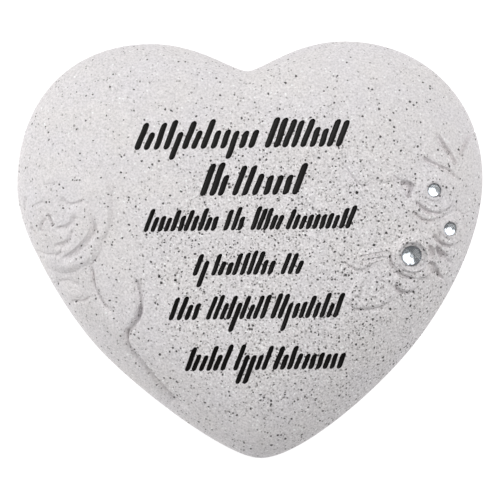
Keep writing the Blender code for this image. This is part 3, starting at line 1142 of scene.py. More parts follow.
@dataclass
class Pit(LineForm):
    """Deep corner between petals, bounded by a smooth loop.

    Attributes:
        depth: Depth of its floor, in millimetres.
        wall: Width of its sloping wall.
    """

    closed: ClassVar[bool] = True
    depth: float
    wall: float = 1.1

    @property
    def margin(self) -> float:
        """Gives the width of the wall."""
        return self.wall

    def section(self, x: np.ndarray, y: np.ndarray, line: np.ndarray) -> np.ndarray:
        """Gives the pit's height over places near its loop.

        Args:
            x: Places across the plan.
            y: Places along the plan.
            line: Points of the drawn loop, one to a row.

        Returns:
            The height over each place, in metres, never above 0.
        """
        met = nearness(x, y, line)
        depth = np.where(met.inside, met.far, -met.far)
        return -self.depth * MILLIMETRE * ease(-self.wall / 2, self.wall / 2, depth)


@dataclass
class Stem(LineForm):
    """Round shoot along a smooth line.

    Attributes:
        radius: Radius where it starts.
        level: Height of its back, in metres.
        start: Share of the line over which it rises from the ground.
        end: Share of the line from which it sinks again.
        sinking: Share of its height that it loses there.
        narrowing: Share of its radius that it loses along the line.
    """

    radius: float
    level: float
    start: float = 0.06
    end: float = 0.8
    sinking: float = 0.75
    narrowing: float = 0.35

    @property
    def margin(self) -> float:
        """Gives the radius where the stem starts."""
        return self.radius

    def section(self, x: np.ndarray, y: np.ndarray, line: np.ndarray) -> np.ndarray:
        """Gives the stem's height over places near its line.

        Args:
            x: Places across the plan.
            y: Places along the plan.
            line: Points of the drawn line, one to a row.

        Returns:
            The height over each place, in metres, 0 off the stem.
        """
        met = nearness(x, y, line)
        sunk = self.sinking * ease(self.end, 1.0, met.along)
        taper = ease(0.0, self.start, met.along) * (1.0 - sunk)
        radius = self.radius * (1.0 - self.narrowing * met.along)
        round_top = np.sqrt(np.clip(1.0 - (met.far / radius) ** 2, 0.0, 1.0))
        return self.level * taper * round_top


@dataclass
class Carving:
    """The low relief on the stone's face.

    Attributes:
        plan: The stone's plan.
        gems: Where on the plan each small flower holds its rhinestone, by node name.
        rose_rise: Height of the rose's bud over the stone.
        flower_rise: Height of the small flowers' cups.
        leaf_rise: Height of the leaves.
        stem_rise: Height of the rose's stem.
        fillet: Fillet where one form meets another.
        raised: The forms that stand over the stone.
        sunk: The forms that are cut into those and into the stone.
    """

    plan: Plan
    gems: dict[str, tuple[float, float]]
    rose_rise: float = 0.0031
    flower_rise: float = 0.0023
    leaf_rise: float = 0.0012
    stem_rise: float = 0.0013
    fillet: float = 0.00025
    raised: list[CarvedForm] = field(default_factory=list)
    sunk: list[CarvedForm] = field(default_factory=list)

    def __post_init__(self) -> None:
        """Lays out every carved form."""
        self.raised = [*self.rose(), self.stem(), *self.leaves(), *self.spray()]
        self.sunk = [*self.rose_creases(), *self.spray_creases(), *self.spray_pits()]

    def rose(self) -> list[CarvedForm]:
        """Lists the rose's swell and its two outer petals.

        Returns:
            The forms, from the lowest up.
        """
        rise = self.rose_rise
        swell = (
            (-85, 20), (-77, 33), (-62, 34), (-52, 26), (-50.5, 12), (-55, 0), (-63, -6.5),
            (-76, -4), (-84, 6),
        )
        upper_right = (
            (-79.5, 26), (-70, 35.5), (-61, 34), (-53, 29), (-50, 20), (-50.5, 11.5), (-54, 4.5),
            (-64, 6.5), (-73.5, 14),
        )
        lower_right = (
            (-74, 6), (-61.5, 11.5), (-54.5, 7), (-54, 2), (-57, -3.5), (-62.5, -6.5),
            (-69.5, -7), (-76, -3),
        )
        return [
            Petal(swell, -60, 0.55 * rise, 0.25, 9.0, dish=0.0),
            Petal(upper_right, -15, 0.30 * rise, 0.75, 1.6),
            Petal(lower_right, -50, 0.50 * rise, 0.45, 3.0, 0.6, 0.0),
        ]

    def rose_creases(self) -> list[CarvedForm]:
        """Lists the folds of the rose, of its lower leaf and of its stem.

        Returns:
            The creases.
        """
        return [
            Crease(((-58, 13), (-57.5, 9), (-59.5, 5.5), (-63.5, 1.5), (-69, -2)), 1.8, 2.6, 0.8),
            Crease(((-60, 19), (-58.5, 15.5), (-57.5, 10.5)), 0.6, 1.6, 1.2),
            Crease(((-59.5, 20), (-62.5, 18.5), (-65.5, 18.5), (-67.5, 21)), 1.0, 2.4, 0.8),
            Crease(((-63.5, 14.5), (-65, 11.5), (-67.5, 10), (-70.5, 10)), 1.2, 2.4, 1.0),
            Crease(((-65, 9.5), (-65.5, 6.5), (-67, 4.5), (-71, 3.5)), 1.1, 2.2, 0.9),
            Crease(((-68, 4), (-69, 1), (-71, -0.5)), 0.7, 1.8),
            Crease(((-73.5, 14.5), (-72.5, 12.5), (-71.5, 9.5)), 1.2, 1.0, 0.8),
            Crease(((-73.5, 13.5), (-75.5, 11), (-76, 7.5)), 0.9, 1.0, 0.8),
            Crease(((-76.5, 7.5), (-77.5, 8.5), (-79, 10.5)), 0.9, 1.0, 0.8),
            Crease(((-82.3, 21.5), (-82.7, 15.5)), 1.0, 1.8, 1.4),
            Crease(((-74, 19.5), (-78, 18)), 0.5, 1.4),
            Crease(((-69.5, 26), (-75, 25)), 0.4, 1.6),
            Crease(((-70, 0.5), (-74, 0.5), (-78.5, 2)), 0.6, 1.6),
            Crease(((-61, -12), (-66.5, -9.5), (-72, -10)), 0.6, 2.0, 0.8),
            Crease(((-58.5, -15.5), (-61.5, -17), (-66, -17)), 1.0, 1.2),
            Crease(
                ((-58, -4.5), (-58, -10.5), (-56.5, -15), (-54, -19.5), (-50.5, -22.5)),
                1.2, 1.6,
            ),
            Crease(
                ((-43, -9), (-41.8, -13.5), (-41.3, -18.5), (-42, -22.5), (-44, -26)),
                1.4, 2.2, 1.2,
            ),
            Crease(
                ((-41.4, -18.5), (-42.2, -22.8), (-44.2, -26.3), (-46.3, -29), (-47, -33)),
                2.2, 2.2, 0.9,
            ),
            Crease(
                (
                    (-22.5, -57.8), (-29.6, -52.1), (-33.4, -47.9), (-37, -43.7), (-40.3, -39.6),
                    (-43.3, -36), (-45.4, -31.5), (-45.6, -26.5),
                ),
                1.8, 2.4, 1.1,
            ),
        ]

    def spray(self) -> list[CarvedForm]:
        """Lists the petals and cups of the three small flowers.

        Returns:
            The forms, flower by flower.
        """
        rise = self.flower_rise
        upper_outer = (
            (58, 22), (62, 28), (69.5, 30), (75.5, 25), (76.5, 19), (73.5, 13), (67, 10),
            (62, 10), (59, 13.5),
        )
        upper_inner = (
            (59.5, 21), (62.5, 26.5), (69.5, 27.5), (74, 23), (73.5, 16), (69, 12.5),
            (64.5, 13), (60.5, 16.5),
        )
        side = (
            (69, 9), (71.5, 12), (75, 12.5), (77.5, 9), (77, 5), (75, 1.5), (71.5, 0.5),
            (68.5, 2.5),
        )
        lower_left = (
            (50, -1), (55.5, 1.5), (60, -5.5), (60.5, -12), (58.5, -15.5), (54.5, -16),
            (51.5, -13), (50, -7),
        )
        lower_ring = (
            (51, -2.5), (54, 3), (60, 5), (65.5, 4), (68, -0.5), (68, -6), (65, -9.5),
            (59.5, -11.5), (54, -9.5), (51, -6.5),
        )
        return [
            Petal(upper_outer, -75, 0.40 * rise, 0.6, 1.3),
            Petal(upper_inner, -75, 0.66 * rise, 0.55, 1.0),
            Cup(self.gems["rhinestone_upper"], 4.3, 0.70 * rise, 0.25, 0.9),
            Petal(side, -60, 0.55 * rise, 0.5, 1.0),
            Cup(self.gems["rhinestone_side"], 3.9, 0.62 * rise, 0.25, 0.8),
            Petal(lower_left, -85, 0.55 * rise, 0.3, 1.1, dish=0.3),
            Petal(lower_ring, -45, 0.80 * rise, 0.35, 1.0),
            Cup(self.gems["rhinestone_large"], 6.3, 1.2 * rise, 0.5, 1.0),
        ]

    def spray_creases(self) -> list[CarvedForm]:
        """Lists the folds of the spray, from its upper leaves down.

        Returns:
            The creases.
        """
        return [
            Crease(((76.2, 29), (72.8, 35), (68.1, 42)), 2.4, 2.0, 0.8),
            Crease(((83, 43.5), (79, 39), (75.8, 32)), 2.2, 1.2, 0.7),
            Crease(((75.5, 23.5), (73, 27.5), (68, 30), (61.5, 33.5)), 1.2, 1.5),
            Crease(((69.5, 12.5), (64.5, 13), (59.5, 17.5)), 1.6, 1.3),
            Crease(((67, 10), (63, 10), (59, 13.5)), 1.2, 1.2),
            Crease(((80.5, 13.5), (77.5, 12), (75, 14.5)), 0.6, 1.0),
            Crease(((74.5, 12.5), (76.5, 9.5), (77, 5)), 1.0, 1.2),
            Crease(((73, 0.5), (70.5, 1), (68, 2.5)), 1.5, 1.2),
            Crease(((66, 5), (67.5, 0.5), (68, -2.5), (68, -5.5)), 2.2, 1.5),
            Crease(((66.5, -7), (67.5, -10), (69.5, -12.5)), 2.4, 1.1),
            Crease(((68.5, -3.5), (71.5, -5.5), (72.5, -7)), 1.0, 1.0),
            Crease(((59.5, -11), (55, -10), (52, -7.5), (50.5, -3)), 1.4, 1.4),
            Crease(((50, -0.5), (50, -5.5), (51.5, -11.5)), 1.0, 1.1),
            Crease(((59, -15.5), (54.5, -16), (51.5, -13)), 1.4, 1.4),
            Crease(((49, -1), (43.5, -2), (36.5, -3)), 0.9, 1.0),
            Crease(((50, -3), (44.5, -3.5), (38.5, -5)), 0.9, 1.0),
            Crease(((38, -7), (36, -6.5), (33.5, -4.5)), 0.8, 1.2),
            Crease(((48, -21), (42, -22), (36.5, -21.5)), 0.7, 1.4),
            Crease(((45, 25), (41, 22.5), (37, 26.5), (34.5, 31.5)), 0.6, 1.2),
            Crease(((51.5, 29.5), (49.5, 31.5), (48.5, 34.5)), 0.6, 1.2),
            Crease(((54.5, 24.5), (52, 26.5)), 0.8, 1.2),
        ]

    def spray_pits(self) -> list[CarvedForm]:
        """Lists the deep corners between the petals of the spray.

        Returns:
            The pits.
        """
        return [
            Pit(((54.8, 23.7), (59, 23), (58.4, 20.4), (57.2, 18.2), (56.4, 20.8)), 3.0, 1.2),
            Pit(((64, 0.5), (65.5, -0.5), (65.5, -3), (64, -4)), 2.4),
            Pit(((64, -5.5), (66, -6), (65.5, -9), (63.5, -9)), 2.4),
            Pit(((66.8, 0.2), (69, -1.3), (71, -3.6), (68.2, -4.2)), 4.2, 1.5),
        ]

    def leaves(self) -> list[CarvedForm]:
        """Lists the leaves, those of the rose first.

        Returns:
            The leaves.
        """
        rise = self.leaf_rise
        small = (
            (-72, -10.5), (-67, -9.5), (-62, -12), (-59.5, -15.5), (-63, -17.5), (-67.5, -16.5),
            (-71.5, -14),
        )
        stem = (
            (-43, -8.5), (-41.5, -11.5), (-40.5, -16.5), (-41, -20.5), (-43, -25), (-46, -29),
            (-48, -24.5), (-48, -18.5), (-46, -12.5),
        )
        upper = (
            (68.5, 41), (71.5, 36.5), (75, 31), (76, 24.5), (72, 27.5), (67, 30.5), (63, 32.5),
            (63.5, 37.5),
        )
        toothed = (
            (34.5, 31.5), (37, 26.5), (41, 22.5), (44, 25), (49, 23.5), (54, 24.5), (58.5, 24),
            (54.5, 29), (49.5, 33.5), (41, 34.5),
        )
        narrow = (
            (34.5, -4), (39.5, -1.5), (49, 0.5), (51, -3), (45.5, -5), (39.5, -8), (36, -6.5),
        )
        broad = (
            (36, -13.5), (40, -8.5), (46, -5.5), (51, -8), (53, -13), (52, -18), (47.5, -21),
            (43, -22), (38, -22), (34, -19),
        )
        return [
            Petal(small, -80, 0.3 * rise, 0.6, 2.5),
            Petal(stem, -15, 0.7 * rise, 0.85, 2.2),
            Petal(upper, -35, 0.75 * rise, 0.6, 0.9),
            Petal(toothed, -90, 0.45 * rise, 0.4, 1.0),
            Petal(narrow, -100, 0.8 * rise, 0.4, 1.0),
            Petal(broad, -100, 0.9 * rise, 0.8, 1.6, mottle=0.25, dent=3.4),
        ]

    def stem(self) -> CarvedForm:
        """Gives the rose's stem.

        Returns:
            The stem, from under the bloom down the left flank.
        """
        points = (
            (-61.0, -3.0), (-59.5, -12.5), (-55.0, -21.0), (-49.5, -28.5), (-45.5, -35.5),
        )
        return Stem(points, 3.0, 0.45 * self.stem_rise)

    def height(self, x: np.ndarray, y: np.ndarray) -> np.ndarray:
        """Gives the height of the carving over the plain stone.

        Args:
            x: Places across the stone, in metres.
            y: Places along the stone, in metres.

        Returns:
            The height over each place, in metres.
        """
        x, y = self.plan.drawn(x, y)
        height = np.zeros(np.shape(x))
        for form in self.raised:
            height = higher(height, form.height(x, y), self.fillet)
        for form in self.sunk:
            height = height + form.height(x, y)
        return height


@dataclass(frozen=True)
class Row:
    """Row of engraved strokes on the plan.

    Attributes:
        groups: Left and right end of each group of strokes.
        foot: Place of the strokes' feet along the plan.
        body: Height of a plain stroke.
        tall: Height of a tall stroke.
        drop: How far a low stroke reaches under the others.
        thickness: Thickness of a stroke.
        pitch: Distance from one stroke to the next.
    """

    groups: tuple[tuple[float, float], ...]
    foot: float
    body: float
    tall: float
    drop: float
    thickness: float
    pitch: float


@dataclass(frozen=True)
class Stroke:
    """Round-ended dab of the brush on the plan.

    Attributes:
        x: Place of its foot across the plan.
        foot: Place of its foot along the plan.
        top: Place of its top along the plan.
        thickness: Its thickness.
        sway: How far its middle line swings to each side.
        lean: How far it leans to the right, in radians.
    """

    x: float
    foot: float
    top: float
    thickness: float
    sway: float
    lean: float

    def middle(self, share: float) -> tuple[float, float]:
        """Gives a point of the dab's middle line.

        Args:
            share: How far up the dab the point lies, as a share of the dab's height.

        Returns:
            The point, on the plan.
        """
        rise = share * (self.top - self.foot)
        lean = math.tan(self.lean) * rise
        return self.x + lean + self.sway * math.sin(math.tau * share), self.foot + rise

    def edge(self, turn: float) -> tuple[float, float]:
        """Gives a point of the dab's outline.

        Args:
            turn: How far round the dab the point lies from its foot, in radians.

        Returns:
            The point, on the plan.
        """
        share = (1.0 - math.cos(turn)) / 2
        x, y = self.middle(share)
        short = max(0.0, 1.0 - 2 * min(y - self.foot, self.top - y) / self.thickness)
        half = self.thickness / 2 * math.sqrt(max(0.0, 1.0 - short**2))
        return x + math.copysign(half, math.sin(turn)), y


@dataclass
class Inscription:
    """Six rows of short engraved strokes that stand for the inscription and aren't letters.

    Attributes:
        plan: The stone's plan.
        form: The plain stone that the strokes are cut into.
        depth: Depth of a stroke.
        proud: How far the cutter stands over the surface.
        lean: How far the strokes lean to the right, in degrees.
        seed: Seed of the small differences between strokes.
        tall_share: Share of the strokes that are tall.
        low_share: Share of the strokes that reach low.
        sway: Greatest sway of a stroke, as a share of its row's pitch.
        height_play: Least and greatest height of a stroke, as shares of its row's.
        thickness_play: Least and greatest thickness, as shares of its row's.
        start_play: Least and greatest shift of a stroke to the right, as shares of the pitch.
        sides: Corners of a ring of the cutter.
        profile: Section of a groove from its edge down: share of the depth, and share of the
            width that is left there.
        rows: The rows, from the top down.
    """

    plan: Plan
    form: StoneForm
    depth: float = 0.0010
    proud: float = 0.004
    lean: float = 21.0
    seed: int = 7
    tall_share: float = 0.32
    low_share: float = 0.12
    sway: float = 0.05
    height_play: tuple[float, float] = (0.90, 1.06)
    thickness_play: tuple[float, float] = (0.92, 1.04)
    start_play: tuple[float, float] = (0.1, 0.2)
    sides: int = 22
    profile: tuple[tuple[float, float], ...] = ((0.5, 0.94), (0.82, 0.78), (1.0, 0.46))
    rows: tuple[Row, ...] = (
        Row(((-41.3, 3.2), (5.7, 34.8)), 36.9, 7.2, 10.9, 3.8, 2.45, 3.3),
        Row(((-17.9, -8.1), (-6.2, 19.2)), 19.8, 8.0, 11.8, 0.0, 2.50, 3.4),
        Row(
            ((-38.5, -11.9), (-9.7, -2.1), (0.1, 11.4), (12.8, 36.8)),
            7.2, 5.6, 8.4, 0.0, 1.95, 2.5,
        ),
        Row(((-21.3, -15.1), (-14.4, 8.5), (10.7, 18.7)), -9.0, 5.4, 8.6, 4.2, 2.00, 2.5),
        Row(((-30.0, -19.0), (-16.5, 5.3), (6.8, 31.9)), -25.0, 5.9, 9.0, 4.6, 1.95, 2.5),
        Row(((-24.5, -9.2), (-7.0, 5.8), (7.2, 33.1)), -43.6, 6.2, 9.2, 4.9, 2.00, 2.5),
    )

    def strokes(self) -> list[Stroke]:
        """Lists every dab of the six rows."""
        chance = random.Random(self.seed)
        return [stroke for row in self.rows for stroke in self.strokes_of(row, chance)]

    def strokes_of(self, row: Row, chance: random.Random) -> list[Stroke]:
        """Lists the dabs of one row, some of them tall and a few reaching low.

        Args:
            row: The row.
            chance: Seeded source of the small differences between dabs.

        Returns:
            The dabs from left to right.
        """
        lean = math.radians(self.lean)
        strokes = []
        for left, right in row.groups:
            count = max(1, round((right - left) / row.pitch))
            pitch = (right - left) / count
            for i in range(count):
                pick = chance.random()
                tall = pick < self.tall_share or i == 0
                low = row.drop if not tall and pick > 1.0 - self.low_share else 0.0
                top = (row.tall if tall else row.body) * chance.uniform(*self.height_play)
                x = left + (i + chance.uniform(*self.start_play)) * pitch - math.tan(lean) * low
                sway = chance.uniform(-self.sway, self.sway) * row.pitch
                thickness = row.thickness * chance.uniform(*self.thickness_play)
                strokes.append(
                    Stroke(x, row.foot - low, row.foot + top, thickness, sway, lean)
                )
        return strokes

    def ring(
        self, bm: bmesh.types.BMesh, stroke: Stroke, width: float, rise: float, cap: bool
    ) -> list[bmesh.types.BMEdge]:
        """Adds one ring of a dab's cutter.

        Args:
            bm: Mesh that receives the ring.
            stroke: The dab.
            width: Share of the dab's width that the ring has.
            rise: Height of the ring over the plain face.
            cap: Whether the ring is closed by a face.

        Returns:
            The ring's edges.
        """
        made = bmesh.ops.create_circle(bm, cap_ends=cap, segments=self.sides, radius=1.0)["verts"]
        inset = (1.0 - width) * stroke.thickness / 2
        heart_y = (stroke.foot + stroke.top) / 2
        shorter = 1.0 - 2 * inset / (stroke.top - stroke.foot)
        places = []
        for i in range(self.sides):
            turn = math.tau * i / self.sides
            middle = stroke.middle((1.0 - math.cos(turn)) / 2)[0]
            x, y = stroke.edge(turn)
            x, y = middle + (x - middle) * width, heart_y + (y - heart_y) * shorter
            places.append(self.plan.world(x, y))
        flat = np.array(places)
        ground = self.form.face_height(flat[:, 0], flat[:, 1])
        for vertex, (x, y), z in zip(made, flat, ground):
            vertex.co = (x, y, z + rise)
        return list({edge for vertex in made for edge in vertex.link_edges})

    def add_cutter(self, bm: bmesh.types.BMesh, stroke: Stroke) -> None:
        """Adds the closed cutter of one dab, with a rounded floor.

        Args:
            bm: Mesh that receives the cutter.
            stroke: The dab.
        """
        sections = ((1.0, self.proud), *((w, -share * self.depth) for share, w in self.profile))
        last = len(sections) - 1
        above: list[bmesh.types.BMEdge] = []
        for number, (width, rise) in enumerate(sections):
            edges = self.ring(bm, stroke, width, rise, cap=number in (0, last))
            if above:
                bmesh.ops.bridge_loops(bm, edges=above + edges)
            above = edges

    def cutter(self, slot: int) -> bmesh.types.BMesh:
        """Makes one mesh that holds every dab's cutter.

        Args:
            slot: Material slot of the grooves.

        Returns:
            The mesh.
        """
        bm = bmesh.new()
        for stroke in self.strokes():
            self.add_cutter(bm, stroke)
        for face in bm.faces:
            face.material_index = slot
        return bm


def object_from(
    bm: bmesh.types.BMesh, name: str, finishes: list[bpy.types.Material], smooth: float = 40.0
) -> bpy.types.Object:
    """Makes a mesh object at the origin, with its faces pointing out.

    Args:
        bm: The mesh, which is freed.
        name: Name of the object.
        finishes: Materials of its slots.
        smooth: Angle in degrees over which an edge stays sharp.

    Returns:
        The new object.
    """
    bmesh.ops.recalc_face_normals(bm, faces=bm.faces[:])
    mesh = bpy.data.meshes.new(name)
    bm.to_mesh(mesh)
    bm.free()
    for finish in finishes:
        mesh.materials.append(finish)
    mesh.shade_smooth()
    mesh.set_sharp_from_angle(angle=math.radians(smooth))
    made = bpy.data.objects.new(name, mesh)
    bpy.context.scene.collection.objects.link(made)
    return made


def cut_out(target: bpy.types.Object, cutter: bpy.types.Object) -> None:
    """Cuts one object out of another for good, and removes the cutter.

    Args:
        target: Object that is cut.
        cutter: Closed object that cuts.
    """
    step = target.modifiers.new("cut", "BOOLEAN")
    step.operation = "DIFFERENCE"
    step.solver = "EXACT"
    step.object = cutter
    bpy.context.view_layer.update()
    cut = target.evaluated_get(bpy.context.evaluated_depsgraph_get())
    mesh = bpy.data.meshes.new_from_object(cut)
    target.modifiers.clear()
    old, target.data = target.data, mesh
    mesh.name = old.name
    bpy.data.meshes.remove(old)
    bpy.data.objects.remove(cutter, do_unlink=True)


def part_finishes(mesh: bpy.types.Mesh, angle: float) -> None:
    """Keeps the edges sharp where two finishes meet, and where faces meet at an angle.

    Args:
        mesh: The mesh.
        angle: Angle in degrees over which an edge is sharp.
    """
    bm = bmesh.new()
    bm.from_mesh(mesh)
    limit = math.radians(angle)
    for edge in bm.edges:
        finishes = {face.material_index for face in edge.link_faces}
        turn = edge.calc_face_angle(0.0) if edge.is_manifold else 0.0
        edge.smooth = len(finishes) == 1 and turn < limit
    bm.to_mesh(mesh)
    bm.free()


@dataclass(frozen=True)
class Setting:
    """Seat of a rhinestone.

    Attributes:
        point: Middle of its mouth.
        axis: The way that it faces.
        radius: Radius of the rhinestone.
    """

    point: Vector
    axis: Vector
    radius: float

    def matrix(self, rise: float) -> Matrix:
        """Gives the placing of a thing that stands this far over the seat's mouth."""
        turned = self.axis.to_track_quat("Z", "Y").to_matrix().to_4x4()
        return Matrix.Translation(self.point + self.axis * rise) @ turned


@dataclass
class HeartStone:
    """The heart itself, with its relief, its engraving and the seats of its rhinestones.

    Attributes:
        plan: The stone's plan.
        form: The plain stone.
        carving: The relief.
        inscription: The engraved rows.
        settings: The seats of the rhinestones.
        cuts: Cuts across each side of the cube that the ball is made from.
        rises: For each round of splitting, the rise of relief over which a face is split.
        carving_ends: Latitudes of the ball at which the relief has ended and is full.
        seat_depth: Depth of a seat.
        seat_clearance: Gap around a rhinestone in its seat.
        seat_sides: Sides of a seat.
        sharp_angle: Angle in degrees over which an edge of the stone stays sharp.
        most_corners: Corners of a face from which on it is the flat back, and stays whole.
    """

    plan: Plan
    form: StoneForm
    carving: Carving
    inscription: Inscription
    settings: dict[str, Setting]
    cuts: int = 55
    rises: tuple[float, ...] = (0.00012, 0.00010, 0.00008)
    carving_ends: tuple[float, float] = (-12.0, 20.0)
    seat_depth: float = 0.0015
    seat_clearance: float = 0.0003
    seat_sides: int = 48
    sharp_angle: float = 48.0
    most_corners: int = 100

    def relief(self, directions: np.ndarray) -> np.ndarray:
        """Gives the height of the relief at points of the unit ball.

        Args:
            directions: Points of the unit ball, one to a row.

        Returns:
            The height at each point, in metres.
        """
        places = self.form.placed(directions)
        rise = self.carving.height(places[:, 0], places[:, 1])
        return rise * ease(*self.carving_ends, self.form.latitude(directions))

    def ball(self) -> bmesh.types.BMesh:
        """Makes the ball of even faces that the stone is formed from.

        Returns:
            The ball's mesh, cut off at its back.
        """
        bm = bmesh.new()
        bmesh.ops.create_cube(bm, size=2.0)
        bmesh.ops.subdivide_edges(bm, edges=bm.edges[:], cuts=self.cuts, use_grid_fill=True)
        for vertex in bm.verts:
            # The tangent spreads the cuts evenly over the ball.
            vertex.co = Vector([math.tan(c * math.pi / 4) for c in vertex.co]).normalized()
        level = math.sin(math.radians(self.form.base_latitude))
        bmesh.ops.bisect_plane(
            bm,
            geom=bm.verts[:] + bm.edges[:] + bm.faces[:],
            plane_co=(0.0, 0.0, level),
            plane_no=(0.0, 0.0, 1.0),
            clear_inner=True,
        )
        return bm

    def uneven_faces(self, bm: bmesh.types.BMesh, rise: float) -> list[bmesh.types.BMFace]:
        """Lists the faces over which the relief isn't level.

        Args:
            bm: The ball's mesh.
            rise: Rise of the relief, in metres, that a face may have.

        Returns:
            The faces over which the relief rises by more.
        """
        bm.verts.index_update()
        bm.edges.index_update()
        corners = [vertex.co for vertex in bm.verts]
        mids = [(edge.verts[0].co + edge.verts[1].co) / 2 for edge in bm.edges]
        hearts = [face.calc_center_median() for face in bm.faces]
        spots = np.array(corners + mids + hearts)
        heights = self.relief(spots / np.linalg.norm(spots, axis=1)[:, None])
        at_mid, at_heart = len(corners), len(corners) + len(mids)
        uneven = []
        for number, face in enumerate(bm.faces):
            here = [heights[vertex.index] for vertex in face.verts]
            here += [heights[at_mid + edge.index] for edge in face.edges]
            here.append(heights[at_heart + number])
            if max(here) - min(here) > rise:
                uneven.append(face)
        return uneven

    def body(self) -> bmesh.types.BMesh:
        """Forms the carved stone from the ball.

        Returns:
            The stone's mesh, without its cuts.
        """
        bm = self.ball()
        for rise in self.rises:
            edges = {edge for face in self.uneven_faces(bm, rise) for edge in face.edges}
            bmesh.ops.subdivide_edges(bm, edges=list(edges), cuts=1, use_grid_fill=True)
            for vertex in bm.verts:
                vertex.co.normalize()
        rim = [edge for edge in bm.edges if edge.is_boundary]
        bmesh.ops.holes_fill(bm, edges=rim)
        bmesh.ops.recalc_face_normals(bm, faces=bm.faces[:])
        directions = np.array([vertex.co for vertex in bm.verts])
        places = self.form.placed(directions)
        for vertex, place in zip(bm.verts, places):
            vertex.co = place
        bm.normal_update()
        outward = np.array([vertex.normal for vertex in bm.verts])
        low, high = np.array(self.plan.low), np.array(self.plan.high)
        carved = places + outward * self.relief(directions)[:, None]
        over = np.maximum(low - carved, carved - high).max()
        log.info("the relief stands %.2f mm over the box", over / MILLIMETRE)
        for vertex, place in zip(bm.verts, np.clip(carved, low, high)):
            vertex.co = place
        small = [face for face in bm.faces if len(face.verts) < self.most_corners]
        bmesh.ops.triangulate(bm, faces=small)
        return bm

    def cutter(self) -> bmesh.types.BMesh:
        """Makes the cutter of the engraving and of the seats.

        Returns:
            The cutter's mesh, with the engraving in the second slot.
        """
        bm = self.inscription.cutter(slot=1)
        depth = self.seat_depth + self.inscription.proud
        for setting in self.settings.values():
            radius = setting.radius + self.seat_clearance
            bmesh.ops.create_cone(
                bm,
                cap_ends=True,
                segments=self.seat_sides,
                radius1=radius,
                radius2=radius,
                depth=depth,
                matrix=setting.matrix(depth / 2 - self.seat_depth),
            )
        return bm

    def build(self, stone: bpy.types.Material, enamel: bpy.types.Material) -> bpy.types.Object:
        """Builds the heart and gives it to the frame.

        Args:
            stone: Finish of the cast stone.
            enamel: Finish of the grooves.

        Returns:
            The finished piece.
        """
        heart = object_from(self.body(), "memorial_heart", [stone, enamel])
        log.info("body: %d faces", len(heart.data.polygons))
        cut_out(heart, object_from(self.cutter(), "heart_cutter", [stone, enamel]))
        part_finishes(heart.data, self.sharp_angle)
        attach(heart, BODY)
        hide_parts("heart_stone")
        return heart


class Crown(Enum):
    """Crowns of the rhinestones, in rows of facets.

    A row holds how many facets, their offset in steps, their angle in degrees and the distance
    of their plane from the middle of the back, as a share of the radius.
    """

    STEEP = ((16, 0.5, 50.0, 0.975), (8, 0.0, 40.0, 0.905), (8, 0.5, 23.0, 0.780))
    SHALLOW = ((16, 0.5, 44.0, 0.975), (8, 0.0, 33.0, 0.905), (8, 0.5, 18.0, 0.760))


@dataclass(frozen=True)
class Gem:
    """Size, cut and place of one rhinestone.

    Attributes:
        x: Place across the plan.
        y: Place along the plan.
        radius: Radius in metres.
        lean_share: Share of the face's slope that it leans by.
        crown: Its crown of facets.
    """

    x: float
    y: float
    radius: float
    lean_share: float
    crown: Crown


GEMS: dict[str, Gem] = {
    "rhinestone_large": Gem(57.7, -2.9, 0.00715 / 2, 0.05, Crown.STEEP),
    "rhinestone_upper": Gem(66.3, 20.6, 0.0047 / 2, 0.30, Crown.SHALLOW),
    "rhinestone_side": Gem(71.8, 6.6, 0.0047 / 2, 0.30, Crown.SHALLOW),
}


@dataclass
class Rhinestone:
    """Flat-backed rhinestone with an eight-fold crown, ground facet by facet.

    Attributes:
        node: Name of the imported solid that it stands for.
        setting: Its seat.
        crown: Its crown of facets.
        height_share: Height as a share of its diameter.
        lift: Rise of its back over the seat's mouth.
        sides: Sides of the girdle.
        facet_angle: Angle in degrees over which an edge stays sharp, so that all facets do.
    """

    node: str
    setting: Setting
    crown: Crown
    height_share: float = 0.37
    lift: float = -0.0012
    sides: int = 32
    facet_angle: float = 1.0

    def build(self, glass: bpy.types.Material, foil: bpy.types.Material) -> bpy.types.Object:
        """Builds the rhinestone and gives it to the frame.

        Args:
            glass: Finish of the cut glass.
            foil: Finish of its silvered back.

        Returns:
            The finished piece.
        """
        radius = self.setting.radius
        height = 2 * radius * self.height_share
        bm = bmesh.new()
        bmesh.ops.create_cone(
            bm,
            cap_ends=True,
            segments=self.sides,
            radius1=radius,
            radius2=radius,
            depth=height,
            matrix=Matrix.Translation((0.0, 0.0, height / 2)),
        )
        for count, offset, angle, far in self.crown.value:
            for i in range(count):
                turn = math.tau * (i + offset) / count
                slope = math.radians(angle)
                out = Vector(
                    (
                        math.sin(slope) * math.cos(turn),
                        math.sin(slope) * math.sin(turn),
                        math.cos(slope),
                    )
                )
                self.grind(bm, out * (far * radius), out)
        for face in bm.faces:
            # Only the flat back faces straight down, and it alone is silvered.
            face.material_index = 1 if face.normal.z < -0.9 else 0
        bmesh.ops.transform(bm, matrix=self.setting.matrix(self.lift), verts=bm.verts[:])
        gem = object_from(bm, f"cut_{self.node}", [glass, foil], self.facet_angle)
        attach(gem, BODY)
        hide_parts(self.node)
        return gem

    @staticmethod
    def grind(bm: bmesh.types.BMesh, point: Vector, out: Vector) -> None:
        """Grinds one facet.

        Args:
            bm: The stone's mesh.
            point: Point of the facet's plane.
            out: The way that the facet faces.
        """
        cut = bmesh.ops.bisect_plane(
            bm,
            geom=bm.verts[:] + bm.edges[:] + bm.faces[:],
            plane_co=point,
            plane_no=out,
            clear_outer=True,
        )
        edges = [item for item in cut["geom_cut"] if isinstance(item, bmesh.types.BMEdge)]
        if edges:
            bmesh.ops.contextual_create(bm, geom=edges)
        bm.normal_update()


